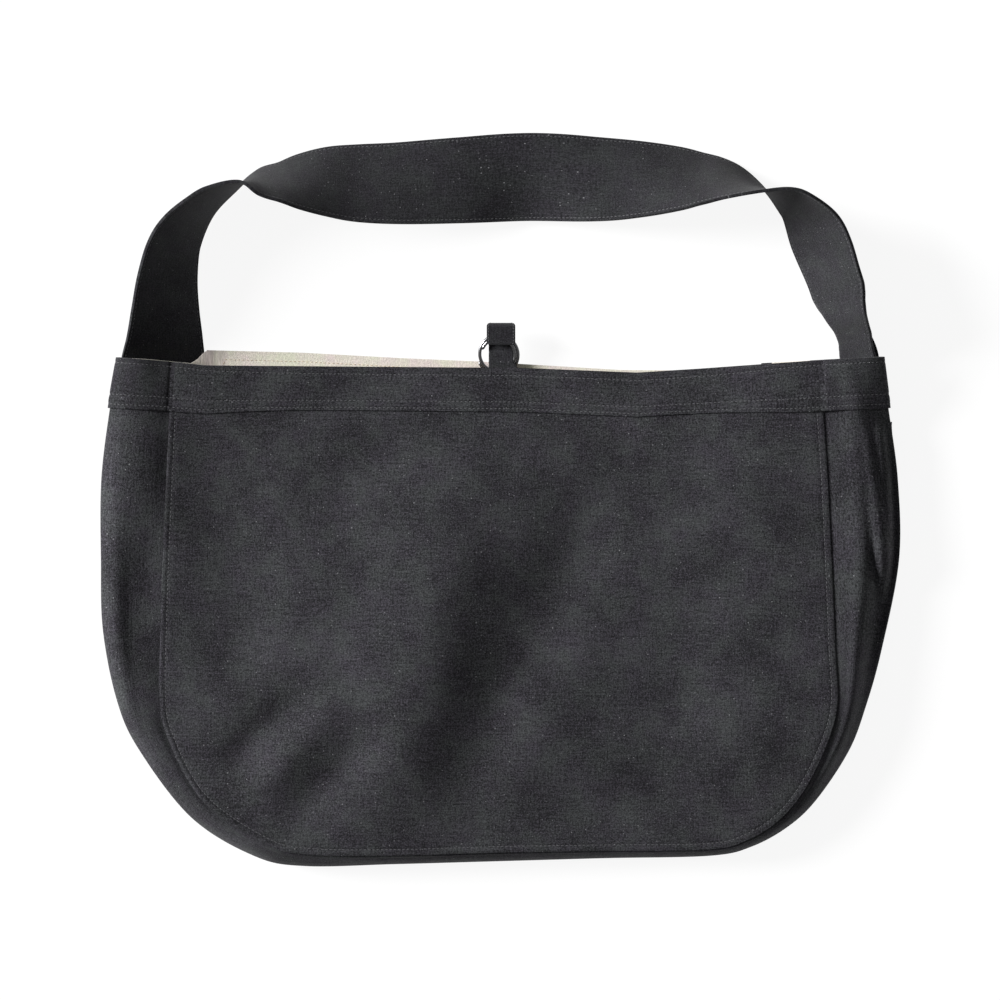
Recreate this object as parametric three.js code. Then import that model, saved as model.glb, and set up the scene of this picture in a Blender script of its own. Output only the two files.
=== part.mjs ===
// A newspaper delivery bag of raw denim, lying on its back with its shoulder strap laid out above the mouth.
// Millimetres, +X across the bag, +Y from the bottom of the bag to the strap, +Z up from the surface it lies on.
import * as THREE from "three";
import { mergeVertices } from "three/addons/utils/BufferGeometryUtils.js";

// Driving dimensions of the bag
const bagWidth = 558;
const bagHeight = 346;
const lyingDepth = 34;
const denim = 1.2;
const facingThickness = 1.0;
const layerGap = 0.3;
const bandHeight = 30;
const facingHeight = 30;
const seamLap = 7;
const backInset = 34;
const seamGap = 0.6;
const loopEndInset = 2;

// Driving dimensions of the strap, the tab and the ring
const strapWidth = 61.6;
const strapThickness = 2.4;
const strapTurnRadius = 3;
const tabWidth = 20;
const tabThickness = 1.5;
const tabRise = 31.5;
const tabReturn = 16;
const tabTail = 12;
const ringDiameter = 27;
const ringWire = 1.4;
const ringRise = 9;

// Fineness of the cloth meshes
const panelCells = { across: 26, down: 16 };
const backCells = { across: 12, down: 8 };
const gussetCells = { along: 44, mouth: 2, around: 16 };
const loopCells = { panel: 22 };
const strapCells = { along: 70, across: 8 };
const strapTrackSteps = 48;

// Lengths that follow from the driving dimensions
const halfWidth = bagWidth / 2;
const layer = denim + layerGap;
const backMid = denim / 2;
const backMidOnBand = backMid + layer;
const facingInset = -(2 * layer + seamGap);

// The front seam and the outer fold of the gusset, from the left mouth corner round the bottom to the right one.
// Places are shares of half the width and of the height below the mouth; rises are shares of the lying depth.
// Held is how far the strap under the gusset keeps its back half up.
const gussetColumns = ["seamX", "seamDown", "foldX", "foldDown", "valley", "crest", "shoulder", "fold", "held"];
const gussetRows = [
  [-0.822, -0.012, -0.955, -0.021, 0.84, 0.95, 0.95, 0.85, 1.0],
  [-0.83, 0.087, -0.977, 0.081, 0.74, 0.8, 0.78, 0.64, 1.0],
  [-0.838, 0.22, -0.999, 0.226, 0.69, 0.74, 0.68, 0.38, 1.0],
  [-0.847, 0.386, -1.0, 0.388, 0.6, 0.66, 0.7, 0.4, 0.1],
  [-0.852, 0.517, -0.995, 0.529, 0.58, 0.62, 0.7, 0.4, 0.0],
  [-0.855, 0.651, -0.96, 0.671, 0.66, 0.68, 0.66, 0.38, 0.0],
  [-0.838, 0.739, -0.905, 0.77, 0.72, 0.72, 0.64, 0.38, 0.0],
  [-0.749, 0.871, -0.774, 0.907, 0.78, 0.72, 0.6, 0.38, 0.0],
  [-0.591, 0.96, -0.617, 0.984, 0.8, 0.74, 0.64, 0.42, 0.0],
  [-0.481, 0.982, -0.491, 1.004, 0.82, 0.76, 0.66, 0.42, 0.0],
  [-0.263, 0.984, -0.263, 1.0, 0.82, 0.77, 0.66, 0.42, 0.0],
  [0.0, 0.978, 0.0, 0.994, 0.8, 0.75, 0.65, 0.42, 0.0],
  [0.258, 0.975, 0.258, 0.988, 0.78, 0.73, 0.63, 0.42, 0.0],
  [0.519, 0.972, 0.524, 0.983, 0.78, 0.72, 0.62, 0.42, 0.0],
  [0.614, 0.954, 0.629, 0.964, 0.78, 0.72, 0.62, 0.42, 0.0],
  [0.697, 0.912, 0.722, 0.922, 0.78, 0.74, 0.6, 0.4, 0.0],
  [0.764, 0.845, 0.792, 0.867, 0.78, 0.74, 0.58, 0.36, 0.0],
  [0.82, 0.749, 0.87, 0.772, 0.8, 0.78, 0.5, 0.26, 0.0],
  [0.842, 0.673, 0.912, 0.683, 0.82, 0.8, 0.5, 0.3, 0.0],
  [0.836, 0.562, 0.951, 0.57, 0.84, 0.82, 0.42, 0.32, 0.0],
  [0.827, 0.386, 0.995, 0.388, 0.84, 0.84, 0.4, 0.36, 0.1],
  [0.817, 0.22, 0.992, 0.226, 0.82, 0.84, 0.46, 0.42, 1.0],
  [0.806, 0.087, 0.968, 0.081, 0.84, 0.88, 0.72, 0.58, 1.0],
  [0.799, -0.016, 0.951, -0.022, 0.96, 1.1, 1.14, 1.06, 1.0],
];

// Heights of the front panel, as shares of the lying depth, in five columns from its left edge to its right one.
const panelColumns = ["down", "leftEdge", "left", "middle", "right", "rightEdge"];
const panelColumnX = [-0.85, -0.42, 0.0, 0.42, 0.83];
const panelRows = [
  [-0.02, 0.82, 0.57, 0.57, 0.6, 0.94],
  [0.09, 0.72, 0.58, 0.62, 0.66, 0.86],
  [0.3, 0.66, 0.7, 0.84, 0.72, 0.84],
  [0.55, 0.64, 0.94, 1.0, 0.78, 0.86],
  [0.8, 0.76, 1.0, 1.0, 0.84, 0.86],
  [1.0, 0.86, 0.9, 0.88, 0.86, 0.84],
];

// The folds of the front panel: long soft ridges, and dents where the height is negative.
// Ends are places as above, widths are shares of half the width, heights are shares of the lying depth.
const foldColumns = ["fromX", "fromDown", "toX", "toDown", "width", "height"];
const foldRows = [
  [-0.1, 0.1, -0.3, 1.05, 0.14, 0.26],
  [0.36, 0.1, -0.22, 1.0, 0.1, -0.17],
  [0.6, 0.0, 0.68, 0.98, 0.16, 0.08],
  [-0.72, 0.04, -0.6, 0.7, 0.12, -0.12],
  [-0.46, 0.62, -0.72, 0.83, 0.045, -0.12],
  [-0.36, 0.64, -0.66, 0.9, 0.045, 0.12],
  [-0.26, 0.7, -0.57, 0.94, 0.045, -0.1],
  [0.44, 0.66, 0.74, 0.84, 0.06, 0.08],
];

// The front mouth edge, the back mouth edge and the top of the facing in the back of the mouth,
// as shares of half the width and of the height below the mouth.
const frontMouthRows = [
  [-0.96, -0.022],
  [-0.88, -0.016],
  [-0.74, -0.004],
  [-0.5, -0.002],
  [0.05, 0.002],
  [0.34, 0.012],
  [0.5, 0.004],
  [0.75, -0.01],
  [0.85, -0.016],
  [0.96, -0.024],
];
const backMouthRows = [
  [-0.76, -0.03],
  [-0.5, -0.026],
  [-0.25, -0.016],
  [-0.05, -0.009],
  [0.3, 0.006],
  [0.5, 0.008],
  [0.76, 0.002],
];
const facingTopRows = [
  [-0.97, -0.021],
  [-0.88, -0.017],
  [-0.78, -0.009],
  [-0.762, -0.018],
  [-0.742, -0.036],
  [-0.5, -0.031],
  [-0.25, -0.02],
  [-0.05, -0.013],
  [0.3, 0.004],
  [0.5, 0.005],
  [0.75, -0.006],
  [0.86, -0.017],
  [0.97, -0.024],
];

// The strap, from its sewn end under the left side, over the shoulder stretch, to the end under the right side.
// Places are shares of half the width and of the height above the mouth. Tilt turns the strap about its length,
// 0 flat and 180 turned over. Tuck is the share of its width that is folded under, and turn how far it is folded.
const strapColumns = ["x", "up", "tilt", "tuck", "turn"];
const strapRows = [
  [-0.892, -0.24, 4, 0, 0],
  [-0.875, -0.145, 8, 0, 0],
  [-0.86, -0.075, 13, 0, 0],
  [-0.847, 0.004, 19, 0, 0],
  [-0.842, 0.057, 32, 0, 0],
  [-0.84, 0.117, 42, 0, 0],
  [-0.835, 0.178, 49, 0, 0],
  [-0.821, 0.238, 55, 0, 0],
  [-0.797, 0.279, 61, 0, 0],
  [-0.758, 0.319, 70, 0, 0],
  [-0.72, 0.345, 76, 0, 0],
  [-0.654, 0.372, 88, 0, 0],
  [-0.604, 0.375, 107, 0, 0],
  [-0.554, 0.375, 116, 0, 0],
  [-0.504, 0.376, 128, 0, 0],
  [-0.429, 0.376, 142, 0, 0],
  [-0.353, 0.373, 151, 0, 0],
  [-0.253, 0.373, 157, 0, 0],
  [-0.103, 0.379, 166, 0, 0],
  [0.073, 0.386, 176, 0, 0],
  [0.248, 0.381, 161, 0, 0],
  [0.348, 0.381, 149, 0, 0],
  [0.449, 0.382, 135, 0, 0],
  [0.499, 0.382, 126, 0, 0],
  [0.549, 0.381, 118, 0, 0],
  [0.599, 0.374, 108, 0, 0],
  [0.661, 0.358, 91, 0, 0],
  [0.713, 0.339, 74, 0, 0],
  [0.747, 0.319, 65, 0, 0],
  [0.784, 0.279, 53, 0, 0],
  [0.808, 0.238, 51, 0, 0],
  [0.835, 0.178, 54, 0, 0],
  [0.86, 0.117, 54, 0.2, 0.35],
  [0.88, 0.077, 54, 0.34, 0.8],
  [0.898, 0.028, 46, 0.43, 1],
  [0.9, -0.004, 34, 0.43, 1],
  [0.895, -0.045, 14, 0.34, 1],
  [0.879, -0.08, 3, 0.14, 1],
  [0.869, -0.12, 1, 0, 1],
  [0.884, -0.24, 1, 0, 1],
];

// Small helpers for tables, points and cloth meshes
const lerp = (a, b, share) => a + (b - a) * share;
const clamp = (value, low, high) => Math.min(high, Math.max(low, value));
const smooth = (value) => {
  const share = clamp(value, 0, 1);
  return share * share * (3 - 2 * share);
};

function splineValue(a, b, c, d, share) {
  const square = share * share;
  const cube = square * share;
  return 0.5 * (2 * b + (c - a) * share + (2 * a - 5 * b + 4 * c - d) * square + (3 * b - a - 3 * c + d) * cube);
}

// One row of a table, at a place between its rows, with each column smoothed on its own
function rowAt(rows, columns, place) {
  const last = rows.length - 1;
  const at = clamp(place, 0, last);
  const first = Math.min(Math.floor(at), last - 1);
  const pick = (index) => rows[clamp(index, 0, last)];
  const row = {};
  columns.forEach((name, column) => {
    row[name] = splineValue(
      pick(first - 1)[column],
      pick(first)[column],
      pick(first + 1)[column],
      pick(first + 2)[column],
      at - first,
    );
  });
  return row;
}

// The height of a line given by rows of place and height, straight between its rows
function lineAt(rows, place) {
  const index = clamp(rows.findIndex((row) => row[0] >= place), 1, rows.length - 1);
  const [from, to] = [rows[index - 1], rows[index]];
  const share = clamp((place - from[0]) / (to[0] - from[0]), 0, 1);
  return lerp(from[1], to[1], share);
}

const bellCurve = (distance, width) => Math.exp(-((distance / width) ** 2));
const named = (columns, row) => Object.fromEntries(columns.map((name, index) => [name, row[index]]));

// The edges of the mouth: how far along Y each one lies at a distance along X
const frontMouthAt = (x) => -lineAt(frontMouthRows, x / halfWidth) * bagHeight;
const backMouthAt = (x) => -lineAt(backMouthRows, x / halfWidth) * bagHeight;
const facingTopAt = (x) => -lineAt(facingTopRows, x / halfWidth) * bagHeight;

// The height of the front panel's middle layer over the surface, at a place in plan
function panelHeight(x, y) {
  const shareX = x / halfWidth;
  const down = -y / bagHeight;
  const rowPlace = placeIn(panelRows.map((row) => row[0]), down);
  const row = rowAt(panelRows, panelColumns, rowPlace);
  const heights = panelColumns.slice(1).map((name) => [row[name]]);
  const base = rowAt(heights, ["height"], placeIn(panelColumnX, shareX)).height;
  const folds = foldRows.map((fold) => foldHeight(fold, shareX, down));
  return lyingDepth * folds.reduce((sum, height) => sum + height, base);
}

// Where a value lies among rising marks, as a place between them
function placeIn(marks, value) {
  const index = clamp(marks.findIndex((mark) => mark >= value), 1, marks.length - 1);
  const share = (value - marks[index - 1]) / (marks[index] - marks[index - 1]);
  return index - 1 + clamp(share, 0, 1);
}

// A fold rises and falls over this share of its length at each end
const foldTaper = 0.35;

function foldHeight(foldRow, shareX, down) {
  const { fromX, fromDown, toX, toDown, width, height } = named(foldColumns, foldRow);
  const tall = bagHeight / halfWidth;
  const along = new THREE.Vector2(toX - fromX, (toDown - fromDown) * tall);
  const reach = new THREE.Vector2(shareX - fromX, (down - fromDown) * tall);
  const place = reach.dot(along) / along.lengthSq();
  const off = Math.abs(reach.cross(along)) / along.length();
  const taper = smooth(place / foldTaper) * smooth((1 - place) / foldTaper);
  return height * bellCurve(off, width) * taper;
}

// The front seam: a place on it in plan, and the direction from it into the bag.
// Places count the rows of the gusset's table, and the seam turns the bag's lower corners at two of them.
const gussetEnd = gussetRows.length - 1;
const leftCorner = 7;
const rightCorner = 16;

function seamPoint(place) {
  const row = rowAt(gussetRows, gussetColumns, place);
  return new THREE.Vector2(row.seamX * halfWidth, -row.seamDown * bagHeight);
}

function seamInward(place) {
  const step = 0.2;
  const ahead = seamPoint(Math.min(place + step, gussetEnd));
  const along = ahead.sub(seamPoint(Math.max(place - step, 0)));
  return new THREE.Vector2(-along.y, along.x).normalize();
}

// The height of the back panel's middle layer: it lies on the mouth band near the mouth, and on the floor below it
const bandStep = bandHeight + 3 * layer;

function backHeight(y) {
  const stepRun = 4 * layer;
  return lerp(backMidOnBand, backMid, smooth((-bandStep - y) / stepRun));
}

// A sheet's place between four edges, each a function of a share from 0 to 1
function patchPoint(top, bottom, left, right, across, down) {
  const ruled = top(across).multiplyScalar(1 - down).addScaledVector(bottom(across), down);
  ruled.addScaledVector(left(down), 1 - across).addScaledVector(right(down), across);
  ruled.addScaledVector(top(0), -(1 - across) * (1 - down)).addScaledVector(top(1), -across * (1 - down));
  ruled.addScaledVector(bottom(0), -(1 - across) * down).addScaledVector(bottom(1), -across * down);
  return ruled;
}

// A closed sheet of cloth: a grid of middle points, thickened to both sides
function sheetMesh(grid, thickness, { closed = false, upright = false } = {}) {
  const rows = grid.length;
  const columns = grid[0].length;
  const next = (index, count) => (closed ? (index + 1) % count : Math.min(index + 1, count - 1));
  const before = (index, count) => (closed ? (index + count - 1) % count : Math.max(index - 1, 0));
  const normalAt = (r, c) => {
    const down = grid[Math.min(r + 1, rows - 1)][c].clone().sub(grid[Math.max(r - 1, 0)][c]);
    const across = grid[r][next(c, columns)].clone().sub(grid[r][before(c, columns)]);
    return across.cross(down).normalize();
  };
  const up = new THREE.Vector3(0, 0, 1);
  const side = (sign) =>
    grid.map((row, r) =>
      row.map((point, c) => point.clone().addScaledVector(upright ? up : normalAt(r, c), (sign * thickness) / 2)),
    );
  return shellMesh(side(1), side(-1), closed);
}

// A closed mesh from two matching grids, one on each face of the cloth
function shellMesh(front, back, closed) {
  const rows = front.length;
  const columns = front[0].length;
  const points = [...front.flat(), ...back.flat()];
  const offset = rows * columns;
  const faces = [];
  const quad = (a, b, c, d) => faces.push(a, b, c, a, c, d);
  const spans = closed ? columns : columns - 1;
  const apart = (i, j) => points[i].distanceTo(points[j]) + points[i + offset].distanceTo(points[j + offset]);
  for (let r = 0; r < rows - 1; r++) {
    for (let c = 0; c < spans; c++) {
      const n = (c + 1) % columns;
      const [a, b] = [r * columns + c, r * columns + n];
      const [d, e] = [a + columns, b + columns];
      const corners = apart(a, e) < apart(b, d) ? [a, d, e, b] : [b, a, d, e];
      quad(...corners);
      quad(...corners.map((corner) => corner + offset).reverse());
    }
  }
  for (let c = 0; c < spans; c++) {
    const n = (c + 1) % columns;
    const bottom = (rows - 1) * columns;
    quad(c, n, n + offset, c + offset);
    quad(bottom + n, bottom + c, bottom + c + offset, bottom + n + offset);
  }
  for (let r = 0; r < rows - 1 && !closed; r++) {
    const [a, d] = [r * columns, (r + 1) * columns];
    quad(d, a, a + offset, d + offset);
    const [b, e] = [a + columns - 1, d + columns - 1];
    quad(b, e, e + offset, b + offset);
  }
  return geometryOf(points, faces);
}

// A geometry with its faces pointing out, whichever way they were listed
function geometryOf(points, faces) {
  let volume = 0;
  for (let i = 0; i < faces.length; i += 3) {
    const [a, b, c] = [points[faces[i]], points[faces[i + 1]], points[faces[i + 2]]];
    volume += a.dot(b.clone().cross(c));
  }
  const turned = volume < 0 ? [...faces].reverse() : faces;
  const geometry = new THREE.BufferGeometry().setFromPoints(points);
  geometry.setIndex(turned);
  geometry.computeVertexNormals();
  return geometry;
}

const range = (count) => Array.from({ length: count + 1 }, (_, index) => index / count);
const evenly = (count, from, to) => range(count).map((share) => lerp(from, to, share));

// The front panel, inside the front seam and under the front mouth edge
function frontPanel() {
  const mouthLeft = seamPoint(0);
  const mouthRight = seamPoint(gussetEnd);
  const top = (share) => {
    const x = lerp(mouthLeft.x, mouthRight.x, share);
    return new THREE.Vector2(x, frontMouthAt(x));
  };
  const left = (share) => seamPoint(lerp(0, leftCorner, share));
  const right = (share) => seamPoint(lerp(gussetEnd, rightCorner, share));
  const bottom = (share) => seamPoint(lerp(leftCorner, rightCorner, share));
  const grid = range(panelCells.down).map((down) =>
    range(panelCells.across).map((across) => {
      const { x, y } = patchPoint(top, bottom, left, right, across, down);
      return new THREE.Vector3(x, y, panelHeight(x, y));
    }),
  );
  return sheetMesh(grid, denim);
}

// The back panel, flat on the floor inside the back seam
const backSeamPoint = (place) => seamPoint(place).addScaledVector(seamInward(place), backInset);

function backPanel() {
  const mouthLeft = backSeamPoint(0);
  const mouthRight = backSeamPoint(gussetEnd);
  const top = (share) => {
    const x = lerp(mouthLeft.x, mouthRight.x, share);
    return new THREE.Vector2(x, backMouthAt(x));
  };
  const left = (share) => (share === 0 ? top(0) : backSeamPoint(lerp(0, leftCorner, share)));
  const right = (share) => (share === 0 ? top(1) : backSeamPoint(lerp(gussetEnd, rightCorner, share)));
  const bottom = (share) => backSeamPoint(lerp(leftCorner, rightCorner, share));
  const stepDown = bandStep / (bagHeight - backInset);
  const stepRun = (6 * layer) / bagHeight;
  const downs = [0, stepDown, stepDown + stepRun, stepDown + 2 * stepRun, ...evenly(backCells.down - 2, 0.25, 1)];
  const grid = downs.map((down) =>
    range(backCells.across).map((across) => {
      const { x, y } = patchPoint(top, bottom, left, right, across, down);
      return new THREE.Vector3(x, y, backHeight(y));
    }),
  );
  return sheetMesh(grid, denim, { upright: true });
}

// How far below the band the gusset's back lap stays up, and where its raised underside comes down to the floor
const lapRun = 25;
const flatFrom = 0.92;

// Where the section's control points lie: shares of the way from the front seam to the outer fold,
// and from the outer fold to the back seam, with how far each of the latter has come down by itself
const sectionShares = { valley: 0.24, crest: 0.52, shoulder: 0.8 };
const undersideColumns = ["share", "fallen"];
const undersideRows = [
  [0.1, 0.35],
  [0.35, 0.02],
  [0.84, 0],
];

// The control points of the gusset's section, from under the front panel, round the outer fold, to the back seam
function gussetSection(place) {
  const row = rowAt(gussetRows, gussetColumns, place);
  const seam = seamPoint(place);
  const inward = seamInward(place);
  const fold = new THREE.Vector2(row.foldX * halfWidth, -row.foldDown * bagHeight);
  const back = seam.clone().addScaledVector(inward, backInset);
  const backEnd = back.clone().addScaledVector(inward, seamLap);
  const flange = seam.clone().addScaledVector(inward, seamLap);
  const foldZ = row.fold * lyingDepth;
  const backZ = backHeight(back.y + lapRun) + layer;
  const straight = (share) => Math.max(0, 1 - share / flatFrom);
  const atPlan = (from, to, share, z) => new THREE.Vector3(...from.clone().lerp(to, share).toArray(), z);
  const underside = undersideRows.map((undersideRow) => {
    const { share, fallen } = named(undersideColumns, undersideRow);
    const kept = lerp(fallen, straight(share), clamp(row.held, 0, 1));
    return atPlan(fold, back, share, lerp(backZ, foldZ, kept));
  });
  return [
    atPlan(flange, flange, 0, panelHeight(flange.x, flange.y) - denim - seamGap),
    atPlan(seam, seam, 0, panelHeight(seam.x, seam.y) - denim - seamGap),
    atPlan(seam, fold, sectionShares.valley, row.valley * lyingDepth),
    atPlan(seam, fold, sectionShares.crest, row.crest * lyingDepth),
    atPlan(seam, fold, sectionShares.shoulder, row.shoulder * lyingDepth),
    atPlan(fold, fold, 0, foldZ),
    ...underside,
    atPlan(back, back, 0, backZ),
    atPlan(backEnd, backEnd, 0, backHeight(backEnd.y + lapRun) + layer),
  ];
}

function gussetPoint(place, share) {
  const controls = gussetSection(place).map((point) => point.toArray());
  const { x, y, z } = rowAt(controls, ["x", "y", "z"], share * (controls.length - 1));
  return new THREE.Vector3(x, y, z);
}

function gusset() {
  const places = [
    ...evenly(gussetCells.mouth, 0, 1),
    ...evenly(gussetCells.along, 1, gussetEnd - 1).slice(1, -1),
    ...evenly(gussetCells.mouth, gussetEnd - 1, gussetEnd),
  ];
  const grid = places.map((place) =>
    range(gussetCells.around).map((share) => gussetPoint(place, share)),
  );
  return sheetMesh(grid, denim);
}

// The share of the gusset's section at its outer fold that the facing inside it leaves free, the slack there,
// and the shares at both ends of the section, where the gusset laps under a panel and the loop lies farther off
const noseShare = 0.1;
const facingSlack = 0.9;
const bandSlack = 0.4;
const lapShare = 0.12;
const lapRise = 0.1;
const lapFade = 0.2;

// One loop round the mouth, set off from the cloth of the bag: outward for the band, inward for the facing
function mouthLoop(depth, drop, offset, edges) {
  const inner = offset < 0;
  const leftPlace = depth;
  const rightPlace = gussetEnd - depth;
  const seamLeft = seamPoint(leftPlace);
  const seamRight = seamPoint(rightPlace);
  const backLeft = backSeamPoint(leftPlace);
  const backRight = backSeamPoint(rightPlace);
  const front = evenly(loopCells.panel, seamLeft.x + loopEndInset, seamRight.x - loopEndInset).map((x) => {
    const y = edges.front(x) - drop;
    return { x, y, z: panelHeight(x, y), off: offset };
  });
  const back = evenly(loopCells.panel, backRight.x - loopEndInset, backLeft.x + loopEndInset).map((x) => {
    const y = edges.back(x) - drop;
    return { x, y, z: backHeight(y), off: offset };
  });
  const side = (place, shares) =>
    shares.map((share) => {
      const { x, y, z } = gussetPoint(place, share);
      const nearSeam = 1 - smooth((Math.min(share, 1 - share) - lapRise) / lapFade);
      const nose = bellCurve(share - 0.5, noseShare);
      const off = inner ? -layer - facingSlack : offset + layer * nearSeam + bandSlack * nose;
      const isBack = share > 0.5;
      const level = isBack ? edges.backEnd(x, y, depth) : y;
      return { x, y: level, z, off };
    });
  const shares = range(gussetCells.around).filter(
    (share) => Math.min(share, 1 - share) > lapShare && !(inner && Math.abs(share - 0.5) < noseShare),
  );
  const right = side(rightPlace, shares);
  const left = side(leftPlace, [...shares].reverse());
  const loop = [...front, ...right, ...back, ...left];
  const count = loop.length;
  return loop.map(({ x, y, z, off }, index) => {
    const ahead = loop[(index + 1) % count];
    const behind = loop[(index + count - 1) % count];
    const normal = new THREE.Vector2(-(ahead.z - behind.z), ahead.x - behind.x).normalize();
    return new THREE.Vector3(x + normal.x * off, y, z + normal.y * off);
  });
}

// The band round the outside of the mouth
function mouthBand() {
  const edges = { front: frontMouthAt, back: backMouthAt, backEnd: (x, y) => y };
  const grid = [0, 0.5, 1].map((depth) => mouthLoop(depth, bandHeight * depth, layer, edges));
  return sheetMesh(grid, denim, { closed: true });
}

// The pale facing round the inside of the mouth
function mouthFacing() {
  const backEnd = (x, y, depth) => (depth === 0 ? facingTopAt(x) : y);
  const edges = { front: frontMouthAt, back: facingTopAt, backEnd };
  const grid = [0, 0.1, 0.5, 1].map((depth) => mouthLoop(depth, facingHeight * depth, facingInset, edges));
  return sheetMesh(grid, facingThickness, { closed: true });
}

// The strap's section from its inner edge to its outer one, as distances across and heights.
// A tuck below the least one turns only the edge, and the section's points crowd round the turn.
const leastTuck = 0.1;
const turnPlaces = { least: 0.12, most: 0.5, past: 1.15 };

function strapSection({ tilt, tuck, turn }) {
  const slope = THREE.MathUtils.degToRad(tilt);
  const halfTurn = (Math.PI * strapTurnRadius) / 2;
  const turnAt = lerp(-halfTurn, tuck * strapWidth, smooth(tuck / leastTuck));
  const trackColumns = ["x", "z"];
  const track = [[0, 0]];
  for (let step = 0; step < strapTrackSteps; step++) {
    const along = ((step + 0.5) / strapTrackSteps) * strapWidth;
    const folded = smooth((turnAt + halfTurn - along) / (2 * halfTurn));
    const heading = lerp(slope, Math.PI, folded * clamp(turn, 0, 1));
    const [x, z] = track[step];
    const length = strapWidth / strapTrackSteps;
    track.push([x + Math.cos(heading) * length, z + Math.sin(heading) * length]);
  }
  const low = Math.min(...track.map((point) => point[1]));
  const xs = track.map((point) => point[0]);
  const middle = (Math.min(...xs) + Math.max(...xs)) / 2;
  const pastTurn = clamp(tuck, turnPlaces.least, turnPlaces.most) * turnPlaces.past;
  const half = strapCells.across / 2;
  const shares = [...evenly(half, 0, pastTurn), ...evenly(half, pastTurn, 1).slice(1)];
  return shares.map((share) => {
    const row = rowAt(track, trackColumns, share * strapTrackSteps);
    return { across: row.x - middle, rise: row.z - low };
  });
}

function shoulderStrap() {
  const end = strapRows.length - 1;
  const step = 0.3;
  const centre = (place) => {
    const row = rowAt(strapRows, strapColumns, place);
    return new THREE.Vector2(row.x * halfWidth, row.up * bagHeight);
  };
  const places = evenly(strapCells.along, 0, end);
  const grid = places.map((place) => {
    const row = rowAt(strapRows, strapColumns, place);
    const along = centre(Math.min(place + step, end)).sub(centre(Math.max(place - step, 0))).normalize();
    const outward = new THREE.Vector2(-along.y, along.x);
    const { x, y } = centre(place);
    return strapSection(row).map(({ across, rise }) =>
      new THREE.Vector3(x + outward.x * across, y + outward.y * across, strapThickness / 2 + rise),
    );
  });
  return sheetMesh(grid, strapThickness);
}

// The tab: a strip out of the front of the mouth, through the ring, folded over and back on top of itself
const tabX = 0;
const tabCorners = [-tabWidth / 2, 0, tabWidth / 2].flatMap((side) => [0, -tabTail].map((y) => [tabX + side, y]));
const tabRoof = Math.min(...tabCorners.map(([x, y]) => panelHeight(x, y)));
const tabMouthZ = tabRoof + facingInset - facingThickness / 2 - layerGap - tabThickness / 2;
const tabSlope = -0.05;
const ringRadius = (ringDiameter - ringWire) / 2;
const ringTube = 2 * ringWire + layerGap;
const ringAtTabEdge = Math.sqrt(ringRadius ** 2 - (tabWidth / 2 + layerGap) ** 2);
const ringLean = ((tabThickness + ringTube) / 2 + layerGap) / ringAtTabEdge;
const tabReturnRise = ringLean * ringRadius + (ringTube + tabThickness) / 2 + layerGap;

function tabLoop() {
  const lower = (y) => tabMouthZ + tabSlope * (y + tabTail);
  const radius = tabReturnRise / 2;
  const turnY = tabRise - radius - tabThickness / 2;
  const middle = [
    ...evenly(5, -tabTail, turnY).map((y) => [y, lower(y)]),
    ...evenly(6, -Math.PI / 2, Math.PI / 2)
      .slice(1)
      .map((turn) => [turnY + radius * Math.cos(turn), lower(turnY) + radius + radius * Math.sin(turn)]),
    ...evenly(3, turnY, tabReturn)
      .slice(1)
      .map((y) => [y, lower(turnY) + tabReturnRise]),
  ];
  const grid = middle.map(([y, z]) =>
    evenly(2, -tabWidth / 2, tabWidth / 2).map((x) => new THREE.Vector3(tabX + x, y, z)),
  );
  return sheetMesh(grid, tabThickness);
}

// The split ring: two turns of wire, under the tab's strip near the mouth and over it at its far side
function tabRing() {
  const turns = 1.9;
  const steps = 38;
  const sides = 6;
  const step = 0.01;
  const crossing = Math.PI;
  const crossingShare = 0.12;
  const centreZ = tabMouthZ + tabSlope * (ringRise + tabTail);
  const place = (share) => {
    const angle = crossing + (share - 0.5) * turns * 2 * Math.PI;
    const flat = new THREE.Vector2(Math.cos(angle), Math.sin(angle)).multiplyScalar(ringRadius);
    const stack = (smooth((share - 0.5) / crossingShare + 0.5) - 0.5) * (ringWire + layerGap);
    return new THREE.Vector3(tabX + flat.x, ringRise + flat.y, centreZ + flat.y * (ringLean + tabSlope) + stack);
  };
  const points = [];
  range(steps).forEach((share) => {
    const at = place(share);
    const along = place(Math.min(share + step, 1)).sub(place(Math.max(share - step, 0))).normalize();
    const side = new THREE.Vector3(0, 0, 1).cross(along).normalize();
    const up = along.clone().cross(side);
    for (let corner = 0; corner < sides; corner++) {
      const turn = (corner / sides) * 2 * Math.PI;
      const reach = side.clone().multiplyScalar(Math.cos(turn)).addScaledVector(up, Math.sin(turn));
      points.push(at.clone().addScaledVector(reach, ringWire / 2));
    }
  });
  const faces = [];
  for (let ring = 0; ring < steps; ring++) {
    for (let corner = 0; corner < sides; corner++) {
      const next = (corner + 1) % sides;
      const [a, b] = [ring * sides + corner, ring * sides + next];
      faces.push(a, b, b + sides, a, b + sides, a + sides);
    }
  }
  const lastRing = steps * sides;
  for (let corner = 1; corner < sides - 1; corner++) {
    faces.push(0, corner + 1, corner);
    faces.push(lastRing, lastRing + corner, lastRing + corner + 1);
  }
  return geometryOf(points, faces);
}

// Materials and assembly
const darkDenim = new THREE.MeshStandardMaterial({ color: 0x2b2b2f, roughness: 0.92, metalness: 0 });
const strapDenim = new THREE.MeshStandardMaterial({ color: 0x29292d, roughness: 0.92, metalness: 0 });
const ecruCloth = new THREE.MeshStandardMaterial({ color: 0xe4ddcc, roughness: 0.9, metalness: 0 });
const ringSteel = new THREE.MeshStandardMaterial({ color: 0x8d8d90, roughness: 0.35, metalness: 1 });

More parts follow.
